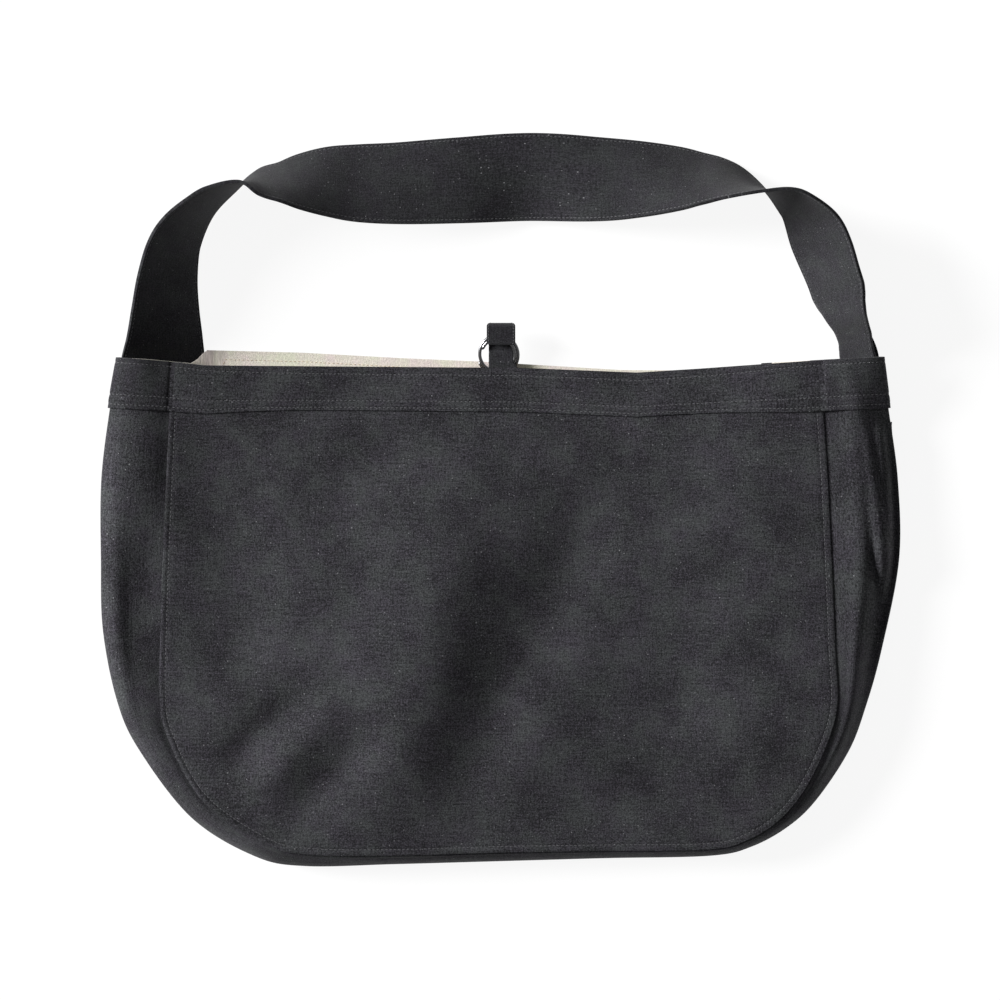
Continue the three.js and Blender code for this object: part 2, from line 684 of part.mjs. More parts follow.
function piece(name, geometry, material) {
  geometry.deleteAttribute("normal");
  const merged = mergeVertices(geometry, 1e-4);
  merged.computeVertexNormals();
  const mesh = new THREE.Mesh(merged, material);
  mesh.name = name;
  return mesh;
}

const bag = new THREE.Group();
bag.add(
  piece("front_panel", frontPanel(), darkDenim),
  piece("back_panel", backPanel(), darkDenim),
  piece("gusset", gusset(), darkDenim),
  piece("mouth_band", mouthBand(), darkDenim),
  piece("mouth_facing", mouthFacing(), ecruCloth),
  piece("shoulder_strap", shoulderStrap(), strapDenim),
  piece("tab_loop", tabLoop(), darkDenim),
  piece("tab_ring", tabRing(), ringSteel),
);

// The bag's origin is the middle of the ground that it covers
const box = new THREE.Box3().setFromObject(bag, true);
const middle = box.getCenter(new THREE.Vector3());
bag.position.set(-middle.x, -middle.y, -box.min.z);

const assembly = new THREE.Group();
assembly.add(bag);

export default assembly;
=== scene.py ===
"""A newspaper delivery bag of raw denim, lying on its back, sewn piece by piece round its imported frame.

Shapes are worked out in millimetres from the tables below and laid in the frame in metres.
"""

import math
import random
from collections import namedtuple

import bmesh
import bpy
from bpy.props import FloatProperty, FloatVectorProperty, PointerProperty
from mathutils import Matrix, Vector, noise
from mathutils.kdtree import KDTree


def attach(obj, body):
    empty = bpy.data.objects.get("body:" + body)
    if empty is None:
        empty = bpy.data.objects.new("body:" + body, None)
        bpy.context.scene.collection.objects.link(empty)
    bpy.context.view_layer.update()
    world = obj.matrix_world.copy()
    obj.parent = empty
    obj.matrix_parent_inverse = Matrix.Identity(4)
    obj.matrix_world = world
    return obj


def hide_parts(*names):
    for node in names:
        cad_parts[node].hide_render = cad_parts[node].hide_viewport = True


bl_info = {
    "name": "Newspaper delivery bag",
    "version": (1, 0, 0),
    "blender": (4, 5, 0),
    "location": "3D View > Sidebar > Bag",
    "description": "Lays the cloth, seams, stitches and ring of a newspaper delivery bag on its packed frame",
    "category": "Object",
}

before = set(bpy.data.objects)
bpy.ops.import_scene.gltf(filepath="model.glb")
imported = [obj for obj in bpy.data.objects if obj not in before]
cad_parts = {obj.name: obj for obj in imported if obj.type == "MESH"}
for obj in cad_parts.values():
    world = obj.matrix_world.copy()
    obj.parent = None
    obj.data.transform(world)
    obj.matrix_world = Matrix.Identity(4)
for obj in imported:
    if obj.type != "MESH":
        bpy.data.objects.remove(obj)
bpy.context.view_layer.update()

# Millimetres in a metre
MM = 1000

# The middle of the mouth line in the frame, and the size of the bag, in millimetres
MOUTH_X, MOUTH_Y = 0.624, 91.934
BAG_WIDTH = 558.0
BAG_HEIGHT = 346.0
HALF_WIDTH = BAG_WIDTH / 2
LYING_DEPTH = 34.0

# Cloth, band, seam and strap, in millimetres
DENIM = 1.2
FACING = 1.0
LAYER_GAP = 0.3
LAYER = DENIM + LAYER_GAP
BAND_HEIGHT = 30.0
FACING_HEIGHT = 30.0
SEAM_LAP = 7.0
BACK_INSET = 34.0
SEAM_GAP = 0.6
LOOP_END_INSET = 2.0
STRAP_WIDTH = 61.6
STRAP_THICKNESS = 2.4
STRAP_TURN_RADIUS = 3.0
STRAP_TRACK_STEPS = 48

# Tab and ring, in millimetres
TAB_WIDTH = 20.0
TAB_THICKNESS = 1.5
TAB_RISE = 31.5
TAB_RETURN = 16.0
TAB_TAIL = 12.0
TAB_SLOPE = -0.05
TAB_NARROWED, TAB_FLARE, TAB_FLARE_RISE, TAB_CORNER = 1.4, 3.2, 5, 1.6
TAB_STITCH_INSET, TAB_PITCH = 1.3, 2.1
RING_DIAMETER = 27.0
RING_WIRE = 1.4
RING_RISE = 9.0
# How far apart the ring's turns lie in plan, how thick its wire shows, and how far to the left it hangs
RING_SPREAD, RING_SEEN_WIRE, RING_SHIFT = 2.2, 2.4, 2.0
RING_TURNS, RING_CROSSING = 1.9, 0.3
RING_STEPS, RING_SIDES = 150, 14

# The photograph's frame: its side in pixels, a pixel's size in millimetres, and where the mouth's middle is
PHOTO_PIXELS = 1000
PIXEL = 0.6992
MOUTH_PIXEL = (501, 368)
SENSOR_WIDTH = 36

# The floor, in metres, and where the key light shines and how wide it looks, in degrees
FLOOR_REACH, FLOOR_DROP, FLOOR_GREY = 6, 0.0002, 0.14
KEY_TOWARDS, KEY_SPREAD = (0.9, -0.24, -0.43), 22

# How the cloth waves, in millimetres: two sizes of soft wave all over, and puckers along the front seam
BROAD_WAVE, BROAD_LENGTH = 0.9, 46.0
FINE_WAVE, FINE_LENGTH = 0.22, 13.0
PUCKER_LENGTH, PUCKER_REACH = 11.0, 8.0

# The front panel's edge, in millimetres: it rolls up on the left, falls and lies flat on the right, and is
# thinned and pulled down by its topstitch
ROLL_AT, ROLL_WIDTH, ROLL_HEIGHT = 1.7, 1.3, 0.45
EDGE_FALL, EDGE_FALL_WIDTH = 0.55, 7.0
EDGE_THINNED, EDGE_THIN_WIDTH = 0.55, 1.8
STITCH_INSET, DIP_WIDTH, DIP_DEPTH = 4.2, 1.0, 0.35
RIGHT_FULLY = 1.5
SEAM_SAMPLES, SEAM_STATIONS = 900, 700

# How the band and the facing leave the cloth at the seams and at the gusset's fold, as shares and millimetres
MEETING_WIDTH = 55.0
NOSE_SHARE = 0.1
FACING_SLACK = 0.9
BAND_SLACK = 0.4
LAP_SHARE = 0.12
LAP_RISE = 0.1
LAP_FADE = 0.2
BAND_ROWS = (4.8, 23.2, 28.0)
GROOVE, GROOVE_WIDTH, BAND_STITCH_LIFT = 0.55, 0.8, 0.1
BAND_THINNED, BAND_THIN_WIDTH = 0.5, 1.6
FACING_STITCH_DROP = 6.3
FACING_PEEP, PEEP_LEFT, PEEP_RIGHT = 2.0, -196, 232

# Stitches: the share of their pitch that the thread covers, and how many are made at a time
STITCH_SHARE = 0.74
STITCH_BATCH = 40
LEAST_TUCK = 0.1
STRAP_STITCH_INSET, STRAP_STITCH_LIFT = 2.1, 0.43
STRAP_GROOVE, STRAP_GROOVE_AT, STRAP_GROOVE_WIDTH = 0.22, 1.6, 0.9

# The narrow step on the gusset's upper right: how far down and across it runs, and the ledge outside it
LEDGE_ROWS = (
    (0.05, 0.895),
    (0.085, 0.9),
    (0.166, 0.918),
    (0.226, 0.932),
    (0.327, 0.948),
    (0.388, 0.959),
    (0.5, 0.972),
)
LEDGE_START, LEDGE_END = 0.085, LEDGE_ROWS[-1][0]
LEDGE_SHARE, LEDGE_STEP, LEDGE_HEIGHT, LEDGE_FADE = 0.455, 6.0, 0.72, 0.36

# Flat lengths of the cloth in millimetres, which its weave follows
BACK_SIZE, GUSSET_SIZE = (405, 320), (1060, 110)
BAND_LENGTH, FACING_LENGTH, STRAP_LENGTH, TAB_LENGTH = 1130, 1080, 1270, 75

# Cells of the meshes, across and down, and the crowding of the front panel's near its edges
FRONT_CELLS, CROWDED_SHARE, CROWDED_CELLS = (150, 140), 0.035, 12
BACK_CELLS = 60
GUSSET_CELLS = (420, 56)
LoopCells = namedtuple("LoopCells", "panel around down")
BAND_CELLS = LoopCells(150, 60, 44)
STRAP_CELLS = 460
TAB_CELLS, TAB_TURN_CELLS, TAB_RETURN_CELLS = (20, 24), 14, 10

# One row for each place along the front seam, from the mouth's left end round the bottom to its right end.
# Places are shares of half the width and of the height below the mouth, rises are shares of the lying depth.
SeamRow = namedtuple("SeamRow", "seam_x seam_down fold_x fold_down valley crest shoulder fold held")
GUSSET_ROWS = (
    (-0.822, -0.012, -0.955, -0.021, 0.84, 0.95, 0.95, 0.85, 1.0),
    (-0.83, 0.087, -0.977, 0.081, 0.74, 0.8, 0.78, 0.64, 1.0),
    (-0.838, 0.22, -0.999, 0.226, 0.69, 0.74, 0.68, 0.38, 1.0),
    (-0.847, 0.386, -1.0, 0.388, 0.6, 0.66, 0.7, 0.4, 0.1),
    (-0.852, 0.517, -0.995, 0.529, 0.58, 0.62, 0.7, 0.4, 0.0),
    (-0.855, 0.651, -0.96, 0.671, 0.66, 0.68, 0.66, 0.38, 0.0),
    (-0.838, 0.739, -0.905, 0.77, 0.72, 0.72, 0.64, 0.38, 0.0),
    (-0.749, 0.871, -0.774, 0.907, 0.78, 0.72, 0.6, 0.38, 0.0),
    (-0.591, 0.96, -0.617, 0.984, 0.8, 0.74, 0.64, 0.42, 0.0),
    (-0.481, 0.982, -0.491, 1.004, 0.82, 0.76, 0.66, 0.42, 0.0),
    (-0.263, 0.984, -0.263, 1.0, 0.82, 0.77, 0.66, 0.42, 0.0),
    (0.0, 0.978, 0.0, 0.994, 0.8, 0.75, 0.65, 0.42, 0.0),
    (0.258, 0.975, 0.258, 0.988, 0.78, 0.73, 0.63, 0.42, 0.0),
    (0.519, 0.972, 0.524, 0.983, 0.78, 0.72, 0.62, 0.42, 0.0),
    (0.614, 0.954, 0.629, 0.964, 0.78, 0.72, 0.62, 0.42, 0.0),
    (0.697, 0.912, 0.722, 0.922, 0.78, 0.74, 0.6, 0.4, 0.0),
    (0.764, 0.845, 0.792, 0.867, 0.78, 0.74, 0.58, 0.36, 0.0),
    (0.82, 0.749, 0.87, 0.772, 0.8, 0.78, 0.5, 0.26, 0.0),
    (0.842, 0.673, 0.912, 0.683, 0.82, 0.8, 0.5, 0.3, 0.0),
    (0.836, 0.562, 0.951, 0.57, 0.84, 0.82, 0.42, 0.32, 0.0),
    (0.827, 0.386, 0.995, 0.388, 0.84, 0.84, 0.4, 0.36, 0.1),
    (0.817, 0.22, 0.992, 0.226, 0.82, 0.84, 0.46, 0.42, 1.0),
    (0.806, 0.087, 0.968, 0.081, 0.84, 0.88, 0.72, 0.58, 1.0),
    (0.799, -0.016, 0.951, -0.022, 0.96, 1.1, 1.14, 1.06, 1.0),
)

# Heights of the front panel, as shares of the lying depth: how far down, then five columns from left to right
PANEL_COLUMN_X = (-0.85, -0.42, 0.0, 0.42, 0.83)
PANEL_ROWS = (
    (-0.02, 0.82, 0.57, 0.57, 0.6, 0.94),
    (0.09, 0.72, 0.58, 0.62, 0.66, 0.86),
    (0.3, 0.66, 0.7, 0.84, 0.72, 0.84),
    (0.55, 0.64, 0.94, 1.0, 0.78, 0.86),
    (0.8, 0.76, 1.0, 1.0, 0.84, 0.86),
    (1.0, 0.86, 0.9, 0.88, 0.86, 0.84),
)
PANEL_DOWNS = [row[0] for row in PANEL_ROWS]

# The folds of the front panel: long soft ridges, and dents where the height is negative
FoldRow = namedtuple("FoldRow", "from_x from_down to_x to_down width height")
FOLD_ROWS = (
    (-0.1, 0.1, -0.3, 1.05, 0.14, 0.26),
    (0.36, 0.1, -0.22, 1.0, 0.1, -0.17),
    (0.6, 0.0, 0.68, 0.98, 0.16, 0.08),
    (-0.72, 0.04, -0.6, 0.7, 0.12, -0.12),
    (-0.46, 0.62, -0.72, 0.83, 0.045, -0.12),
    (-0.36, 0.64, -0.66, 0.9, 0.045, 0.12),
    (-0.26, 0.7, -0.57, 0.94, 0.045, -0.1),
    (0.44, 0.66, 0.74, 0.84, 0.06, 0.08),
)
FOLDS = [FoldRow(*row) for row in FOLD_ROWS]
FOLD_TAPER = 0.35

# The edges of the mouth and of the facing in its back: place across, place down
FRONT_MOUTH_ROWS = (
    (-0.96, -0.022),
    (-0.88, -0.016),
    (-0.74, -0.004),
    (-0.5, -0.002),
    (0.05, 0.002),
    (0.34, 0.012),
    (0.5, 0.004),
    (0.75, -0.01),
    (0.85, -0.016),
    (0.96, -0.024),
)
BACK_MOUTH_ROWS = (
    (-0.76, -0.03),
    (-0.5, -0.026),
    (-0.25, -0.016),
    (-0.05, -0.009),
    (0.3, 0.006),
    (0.5, 0.008),
    (0.76, 0.002),
)
FACING_TOP_ROWS = (
    (-0.97, -0.021),
    (-0.88, -0.017),
    (-0.78, -0.009),
    (-0.762, -0.018),
    (-0.742, -0.036),
    (-0.5, -0.031),
    (-0.25, -0.02),
    (-0.05, -0.013),
    (0.3, 0.004),
    (0.5, 0.005),
    (0.75, -0.006),
    (0.86, -0.017),
    (0.97, -0.024),
)

# The strap from its left end under the bag to its right one: how far up it is, its tilt in degrees,
# the share of its width that is folded under, and how far that share is turned
StrapRow = namedtuple("StrapRow", "x up tilt tuck turn")
STRAP_ROWS = (
    (-0.892, -0.24, 4, 0, 0),
    (-0.875, -0.145, 8, 0, 0),
    (-0.86, -0.075, 13, 0, 0),
    (-0.847, 0.004, 19, 0, 0),
    (-0.842, 0.057, 32, 0, 0),
    (-0.84, 0.117, 42, 0, 0),
    (-0.835, 0.178, 49, 0, 0),
    (-0.821, 0.238, 55, 0, 0),
    (-0.797, 0.279, 61, 0, 0),
    (-0.758, 0.319, 70, 0, 0),
    (-0.72, 0.345, 76, 0, 0),
    (-0.654, 0.372, 88, 0, 0),
    (-0.604, 0.375, 107, 0, 0),
    (-0.554, 0.375, 116, 0, 0),
    (-0.504, 0.376, 128, 0, 0),
    (-0.429, 0.376, 142, 0, 0),
    (-0.353, 0.373, 151, 0, 0),
    (-0.253, 0.373, 157, 0, 0),
    (-0.103, 0.379, 166, 0, 0),
    (0.073, 0.386, 176, 0, 0),
    (0.248, 0.381, 161, 0, 0),
    (0.348, 0.381, 149, 0, 0),
    (0.449, 0.382, 135, 0, 0),
    (0.499, 0.382, 126, 0, 0),
    (0.549, 0.381, 118, 0, 0),
    (0.599, 0.374, 108, 0, 0),
    (0.661, 0.358, 91, 0, 0),
    (0.713, 0.339, 74, 0, 0),
    (0.747, 0.319, 65, 0, 0),
    (0.784, 0.279, 53, 0, 0),
    (0.808, 0.238, 51, 0, 0),
    (0.835, 0.178, 54, 0, 0),
    (0.86, 0.117, 54, 0.2, 0.35),
    (0.88, 0.077, 54, 0.34, 0.8),
    (0.898, 0.028, 46, 0.43, 1),
    (0.9, -0.004, 34, 0.43, 1),
    (0.895, -0.045, 14, 0.34, 1),
    (0.879, -0.08, 3, 0.14, 1),
    (0.869, -0.12, 1, 0, 1),
    (0.884, -0.24, 1, 0, 1),
)

# Where the front seam turns the bag's lower corners, and how the gusset's back half comes down to the floor
SEAM_END = len(GUSSET_ROWS) - 1
LEFT_CORNER = 7
RIGHT_CORNER = 16
BAND_STEP = BAND_HEIGHT + 3 * LAYER
LAP_RUN = 25.0
FLAT_FROM = 0.92
VALLEY_SHARE, CREST_SHARE, SHOULDER_SHARE = 0.24, 0.52, 0.8
UNDERSIDE_ROWS = ((0.1, 0.35), (0.35, 0.02), (0.84, 0.0))


def lerp(a, b, share):
    return a + (b - a) * share


def clamp(value, low=0.0, high=1.0):
    return min(high, max(low, value))


def smooth(value):
    share = clamp(value)
    return share * share * (3 - 2 * share)


def bell(distance, width):
    return math.exp(-((distance / width) ** 2))


def spline_value(a, b, c, d, share):
    square = share * share
    cube = square * share
    return 0.5 * (
        2 * b + (c - a) * share + (2 * a - 5 * b + 4 * c - d) * square + (3 * b - a - 3 * c + d) * cube
    )


def row_at(rows, place):
    """The row at a place between the rows of a table, with each column smoothed on its own."""
    last = len(rows) - 1
    at = clamp(place, 0, last)
    first = min(int(at), last - 1)
    near = [rows[min(max(first + step, 0), last)] for step in (-1, 0, 1, 2)]
    return [spline_value(*column, at - first) for column in zip(*near)]


def place_in(marks, value):
    """Where a value lies among rising marks, as a place between them."""
    index = next((i for i, mark in enumerate(marks) if mark >= value), len(marks) - 1)
    index = min(max(index, 1), len(marks) - 1)
    return index - 1 + clamp((value - marks[index - 1]) / (marks[index] - marks[index - 1]))


def line_at(rows, place):
    """The height of a line given by rows of place and height, straight between its rows."""
    at = place_in([row[0] for row in rows], place)
    index = min(int(at), len(rows) - 2)
    return lerp(rows[index][1], rows[index + 1][1], at - index)


def evenly(count, start, end):
    return [lerp(start, end, step / count) for step in range(count + 1)]


def front_mouth_at(x):
    return -line_at(FRONT_MOUTH_ROWS, x / HALF_WIDTH) * BAG_HEIGHT


def back_mouth_at(x):
    return -line_at(BACK_MOUTH_ROWS, x / HALF_WIDTH) * BAG_HEIGHT


def facing_top_at(x):
    return -line_at(FACING_TOP_ROWS, x / HALF_WIDTH) * BAG_HEIGHT


def fold_height(fold, share_x, down):
    """How much one fold of the front panel adds at a place, as a share of the lying depth."""
    tall = BAG_HEIGHT / HALF_WIDTH
    along = Vector((fold.to_x - fold.from_x, (fold.to_down - fold.from_down) * tall))
    reach = Vector((share_x - fold.from_x, (down - fold.from_down) * tall))
    place = reach.dot(along) / along.length_squared
    off = abs(reach.x * along.y - reach.y * along.x) / along.length
    return fold.height * bell(off, fold.width) * smooth(place / FOLD_TAPER) * smooth((1 - place) / FOLD_TAPER)


def panel_height(x, y):
    """The height of the front panel's plain middle layer over the surface."""
    share_x = x / HALF_WIDTH
    down = -y / BAG_HEIGHT
    row = row_at(PANEL_ROWS, place_in(PANEL_DOWNS, down))[1:]
    base = row_at([(height,) for height in row], place_in(PANEL_COLUMN_X, share_x))[0]
    return LYING_DEPTH * (base + sum(fold_height(fold, share_x, down) for fold in FOLDS))


def seam_row(place):
    return SeamRow(*row_at(GUSSET_ROWS, place))


def seam_point(place):
    row = seam_row(place)
    return Vector((row.seam_x * HALF_WIDTH, -row.seam_down * BAG_HEIGHT))


def seam_inward(place):
    step = 0.2
    along = seam_point(min(place + step, SEAM_END)) - seam_point(max(place - step, 0))
    return Vector((-along.y, along.x)).normalized()


def back_seam_point(place):
    return seam_point(place) + seam_inward(place) * BACK_INSET


def back_height(y):
    """The back panel lies on the band near the mouth, and on the floor below it."""
    return lerp(DENIM / 2 + LAYER, DENIM / 2, smooth((-BAND_STEP - y) / (4 * LAYER)))


def patch_point(top, bottom, left, right, across, down):
    """A place between four edges, each a function of a share from 0 to 1."""
    ruled = (
        top(across) * (1 - down) + bottom(across) * down + left(down) * (1 - across) + right(down) * across
    )
    corners = top(0) * (1 - across) + top(1) * across
    feet = bottom(0) * (1 - across) + bottom(1) * across
    return ruled - corners * (1 - down) - feet * down


def gusset_section(place):
    """The control points of the gusset's section, from under the front panel to the back seam."""
    row = seam_row(place)
    seam, inward = seam_point(place), seam_inward(place)
    fold = Vector((row.fold_x * HALF_WIDTH, -row.fold_down * BAG_HEIGHT))
    back = seam + inward * BACK_INSET
    back_end = back + inward * SEAM_LAP
    flange = seam + inward * SEAM_LAP
    fold_z = row.fold * LYING_DEPTH
    back_z = back_height(back.y + LAP_RUN) + LAYER
    held = clamp(row.held)

    def at(plan, height):
        return (plan.x, plan.y, height)

    underside = []
    for share, fallen in UNDERSIDE_ROWS:
        kept = lerp(fallen, max(0.0, 1 - share / FLAT_FROM), held)
        underside.append(at(fold.lerp(back, share), lerp(back_z, fold_z, kept)))
    return [
        at(flange, panel_height(*flange) - DENIM - SEAM_GAP),
        at(seam, panel_height(*seam) - DENIM - SEAM_GAP),
        at(seam.lerp(fold, VALLEY_SHARE), row.valley * LYING_DEPTH),
        at(seam.lerp(fold, CREST_SHARE), row.crest * LYING_DEPTH),
        at(seam.lerp(fold, SHOULDER_SHARE), row.shoulder * LYING_DEPTH),
        at(fold, fold_z),
        *underside,
        at(back, back_z),
        at(back_end, back_height(back_end.y + LAP_RUN) + LAYER),
    ]


def gusset_point(place, share):
    controls = gusset_section(place)
    return Vector(row_at(controls, share * (len(controls) - 1)))


def seam_tree():
    """Finds the nearest place on the front seam to a point in plan."""
    tree = KDTree(SEAM_SAMPLES + 1)
    runs = [0.0]
    points = [seam_point(place) for place in evenly(SEAM_SAMPLES, 0, SEAM_END)]
    for index, point in enumerate(points):
        tree.insert((point.x, point.y, 0), index)
        if index:
            runs.append(runs[-1] + (point - points[index - 1]).length)
    tree.balance()
    return tree, runs


SEAM_TREE, SEAM_RUNS = seam_tree()


def wave(x, y):
    """The soft waves of the cloth at a place in plan, the same for every layer there."""
    broad = noise.noise(Vector((x / BROAD_LENGTH, y / BROAD_LENGTH, 3.7)))
    fine = noise.noise(Vector((x / FINE_LENGTH, y / FINE_LENGTH, 9.1)))
    _, index, distance = SEAM_TREE.find((x, y, 0))
    pucker = noise.noise(Vector((SEAM_RUNS[index] / PUCKER_LENGTH, 5.3, 1.9)))
    settings = bpy.context.scene.bag_cloth
    height = settings.wave * (broad * BROAD_WAVE + fine * FINE_WAVE)
    return height + settings.pucker * pucker * bell(distance, PUCKER_REACH)


def panel_top(x, y):
    """The height of the front panel's middle layer, with its waves and the roll and dip along its seam."""
    _, _, distance = SEAM_TREE.find((x, y, 0))
    to_right = smooth(RIGHT_FULLY * x / HALF_WIDTH)
    roll = ROLL_HEIGHT * (1 - to_right) * bell(distance - ROLL_AT, ROLL_WIDTH)
    roll -= DIP_DEPTH * bell(distance - STITCH_INSET, DIP_WIDTH)
    fall = EDGE_FALL * bell(distance, EDGE_FALL_WIDTH) * to_right
    return panel_height(x, y) + wave(x, y) + roll - fall


def to_frame(point):
    """A point in millimetres from the middle of the mouth line, as metres in the frame."""
    return Vector(((point[0] + MOUTH_X) / 1000, (point[1] + MOUTH_Y) / 1000, point[2] / 1000))


def put_in_scene(name, data):
    made = bpy.data.objects.new(name, data)
    bpy.context.scene.collection.objects.link(made)
    return made


def add_piece(name, mesh_source, material, replaced=()):
    """Makes an object of a bmesh, with its material, and has it ride on the bag's one body."""
    mesh = bpy.data.meshes.new(name)
    mesh_source.to_mesh(mesh)
    mesh_source.free()
    for face in mesh.polygons:
        face.use_smooth = True
    mesh.materials.append(material)
    piece = put_in_scene(name, mesh)
    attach(piece, "root")
    if replaced:
        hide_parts(*replaced)
    return piece


def lay_cloth(columns, rows, point_at, size, closed=False, rim=None):
    """A sheet of cloth: a grid whose points lie where point_at(column, row) says, in millimetres.

    The cloth map runs with the cloth, in metres: size is the sheet's length across and down, in millimetres.
    rim(column, row) is how thick the cloth is there, as a share of its full thickness.
    """
    sheet = bmesh.new()
    bmesh.ops.create_grid(sheet, x_segments=columns, y_segments=rows, size=0.5)
    cloth_map = sheet.loops.layers.uv.new("cloth")
    weights = sheet.verts.layers.deform.verify()
    for vert in sheet.verts:
        column = round((vert.co.x + 0.5) * columns)
        row = round((0.5 - vert.co.y) * rows)
        for loop in vert.link_loops:
            loop[cloth_map].uv = (column / columns * size[0] / 1000, -row / rows * size[1] / 1000)
        vert[weights][0] = rim(column, row) if rim else 1.0
        vert.co = to_frame(point_at(column, row))
    if closed:
        bmesh.ops.remove_doubles(sheet, verts=sheet.verts, dist=1e-6)
    return sheet


def add_cloth(name, sheet, finish, replaced, thickness, edge):
    """Makes a piece of a sheet, gives it its thickness to both sides and rounds its cut or folded edges."""
    piece = add_piece(name, sheet, material_named(finish), replaced)
    piece.vertex_groups.new(name="thickness")
    solid = piece.modifiers.new("thickness", "SOLIDIFY")
    solid.thickness = thickness
    solid.offset = 0
    solid.vertex_group = "thickness"
    solid.thickness_vertex_group = 0
    rounding = piece.modifiers.new("edge", "BEVEL")
    rounding.limit_method = "ANGLE"
    rounding.angle_limit = math.radians(62)
    rounding.width = edge / 1000
    rounding.segments = 2


def crowd(count, low, high, reach, dense):
    """Stations from low to high with dense ones within reach of each end."""
    near = [low + (high - low) * reach * step / dense for step in range(dense)]
    far = [high - (high - low) * reach * step / dense for step in range(dense)]
    between = evenly(count, low + (high - low) * reach, high - (high - low) * reach)
    return near + between + far[::-1]


def loop_stations(depth, drop, offset, edges, fine):
    """One loop round the mouth, set off from the bag's cloth: outward for the band, inward for the facing."""
    inner = offset < 0
    left_place, right_place = depth, SEAM_END - depth
    starts = [seam_point(left_place).x, seam_point(right_place).x]
    ends = [back_seam_point(right_place).x, back_seam_point(left_place).x]
    front, back, back_end = edges
    loop = []
    seams = [seam_point(left_place), seam_point(right_place)]
    misses = [seam.y - (front(seam.x) - drop) for seam in seams]
    for x in evenly(fine.panel, starts[0] + LOOP_END_INSET, starts[1] - LOOP_END_INSET):
        y = front(x) - drop + sum(miss * bell(x - seam.x, MEETING_WIDTH) for seam, miss in zip(seams, misses))
        loop.append((x, y, panel_height(x, y), offset))
    shares = evenly(fine.around, LAP_SHARE, 1 - LAP_SHARE)

    def side(place, places):
        for share in places:
            x, y, z = gusset_point(place, share)
            near_seam = 1 - smooth((min(share, 1 - share) - LAP_RISE) / LAP_FADE)
            nose = bell(share - 0.5, NOSE_SHARE)
            off = -LAYER - FACING_SLACK if inner else offset + LAYER * near_seam + BAND_SLACK * nose
            loop.append((x, back_end(x, y, depth) if share > 0.5 else y, z, off))

    if inner:
        shares = [share for share in shares if abs(share - 0.5) >= NOSE_SHARE]
    side(right_place, shares)
    for x in evenly(fine.panel, ends[0] - LOOP_END_INSET, ends[1] + LOOP_END_INSET):
        y = back(x) - drop
        loop.append((x, y, back_height(y), offset))
    side(left_place, shares[::-1])
    count = len(loop)
    placed = []
    for index, (x, y, z, off) in enumerate(loop):
        ahead, behind = loop[(index + 1) % count], loop[index - 1]
        normal = Vector((-(ahead[2] - behind[2]), ahead[0] - behind[0])).normalized()
        placed.append((Vector((x + normal.x * off, y, z + normal.y * off)), Vector((normal.x, 0, normal.y))))
    return placed


def cloth_wave(x, y, share):
    """How the gusset moves with the panel's waves: fully at the front seam, not at all past the fold."""
    return wave(x, y) * (1 - smooth((share - 0.15) / 0.3))


def gusset_top(place, share):
    """The gusset's middle layer with the waves, and the narrow step to a flat ledge on its upper right."""
    point = gusset_point(place, share)
    down = -point.y / BAG_HEIGHT
    if place > SEAM_END / 2 and share < LEDGE_SHARE and down < LEDGE_END:
        section = gusset_section(place)
        crest, fold = section[3][2], section[5][2]
        step_x = line_at(LEDGE_ROWS, down) * HALF_WIDTH
        stepped = lerp(crest, lerp(fold, crest, LEDGE_HEIGHT), smooth((point.x - step_x) / LEDGE_STEP))
        kept = smooth((down - LEDGE_START) / 0.06) - smooth((down - LEDGE_FADE) / (LEDGE_END - LEDGE_FADE))
        near_step = smooth((point.x - step_x) / LEDGE_STEP + 1.5) * smooth((LEDGE_SHARE - share) / 0.05)
        point.z = lerp(point.z, stepped, kept * near_step)
    point.z += cloth_wave(point.x, point.y, share)
    return point


def strap_section(row):
    """The strap's section from its inner edge to its outer one, as distances across and heights."""
    slope = math.radians(row.tilt)
    half_turn = math.pi * STRAP_TURN_RADIUS / 2
    turn_at = lerp(-half_turn, row.tuck * STRAP_WIDTH, smooth(row.tuck / LEAST_TUCK))
    length = STRAP_WIDTH / STRAP_TRACK_STEPS
    track = [(0.0, 0.0)]
    for step in range(STRAP_TRACK_STEPS):
        along = (step + 0.5) * length
        folded = smooth((turn_at + half_turn - along) / (2 * half_turn))
        heading = lerp(slope, math.pi, folded * clamp(row.turn))
        across, rise = track[-1]
        track.append((across + math.cos(heading) * length, rise + math.sin(heading) * length))
    low = min(rise for _, rise in track)
    middle = (min(across for across, _ in track) + max(across for across, _ in track)) / 2
    return [(across - middle, rise - low) for across, rise in track]


def strap_row(place):
    return StrapRow(*row_at(STRAP_ROWS, place))


def strap_centre(place):
    row = strap_row(place)
    return Vector((row.x * HALF_WIDTH, row.up * BAG_HEIGHT))


def strap_sections(count):
    """Sections of the strap at even places, each as points in millimetres from its inner edge outwards."""
    step = 0.3
    end = len(STRAP_ROWS) - 1
    sections = []
    for place in evenly(count, 0, end):
        centre = strap_centre(place)
        along = (strap_centre(min(place + step, end)) - strap_centre(max(place - step, 0))).normalized()
        outward = Vector((-along.y, along.x))
        points = []
        for across, rise in strap_section(strap_row(place)):
            plan = centre + outward * across
            points.append(Vector((plan.x, plan.y, STRAP_THICKNESS / 2 + rise)))
        sections.append(points)
    return sections


def walk(path, pitch):
    """Even steps along a path of points with normals: each step's place, direction and normal."""
    steps = []
    carried = pitch / 2
    for (start, start_normal), (end, end_normal) in zip(path, path[1:]):
        span = (end - start).length
        while carried <= span:
            share = carried / span
            steps.append((start.lerp(end, share), (end - start) / span, start_normal.lerp(end_normal, share)))
            carried += pitch
        carried -= span
    return steps


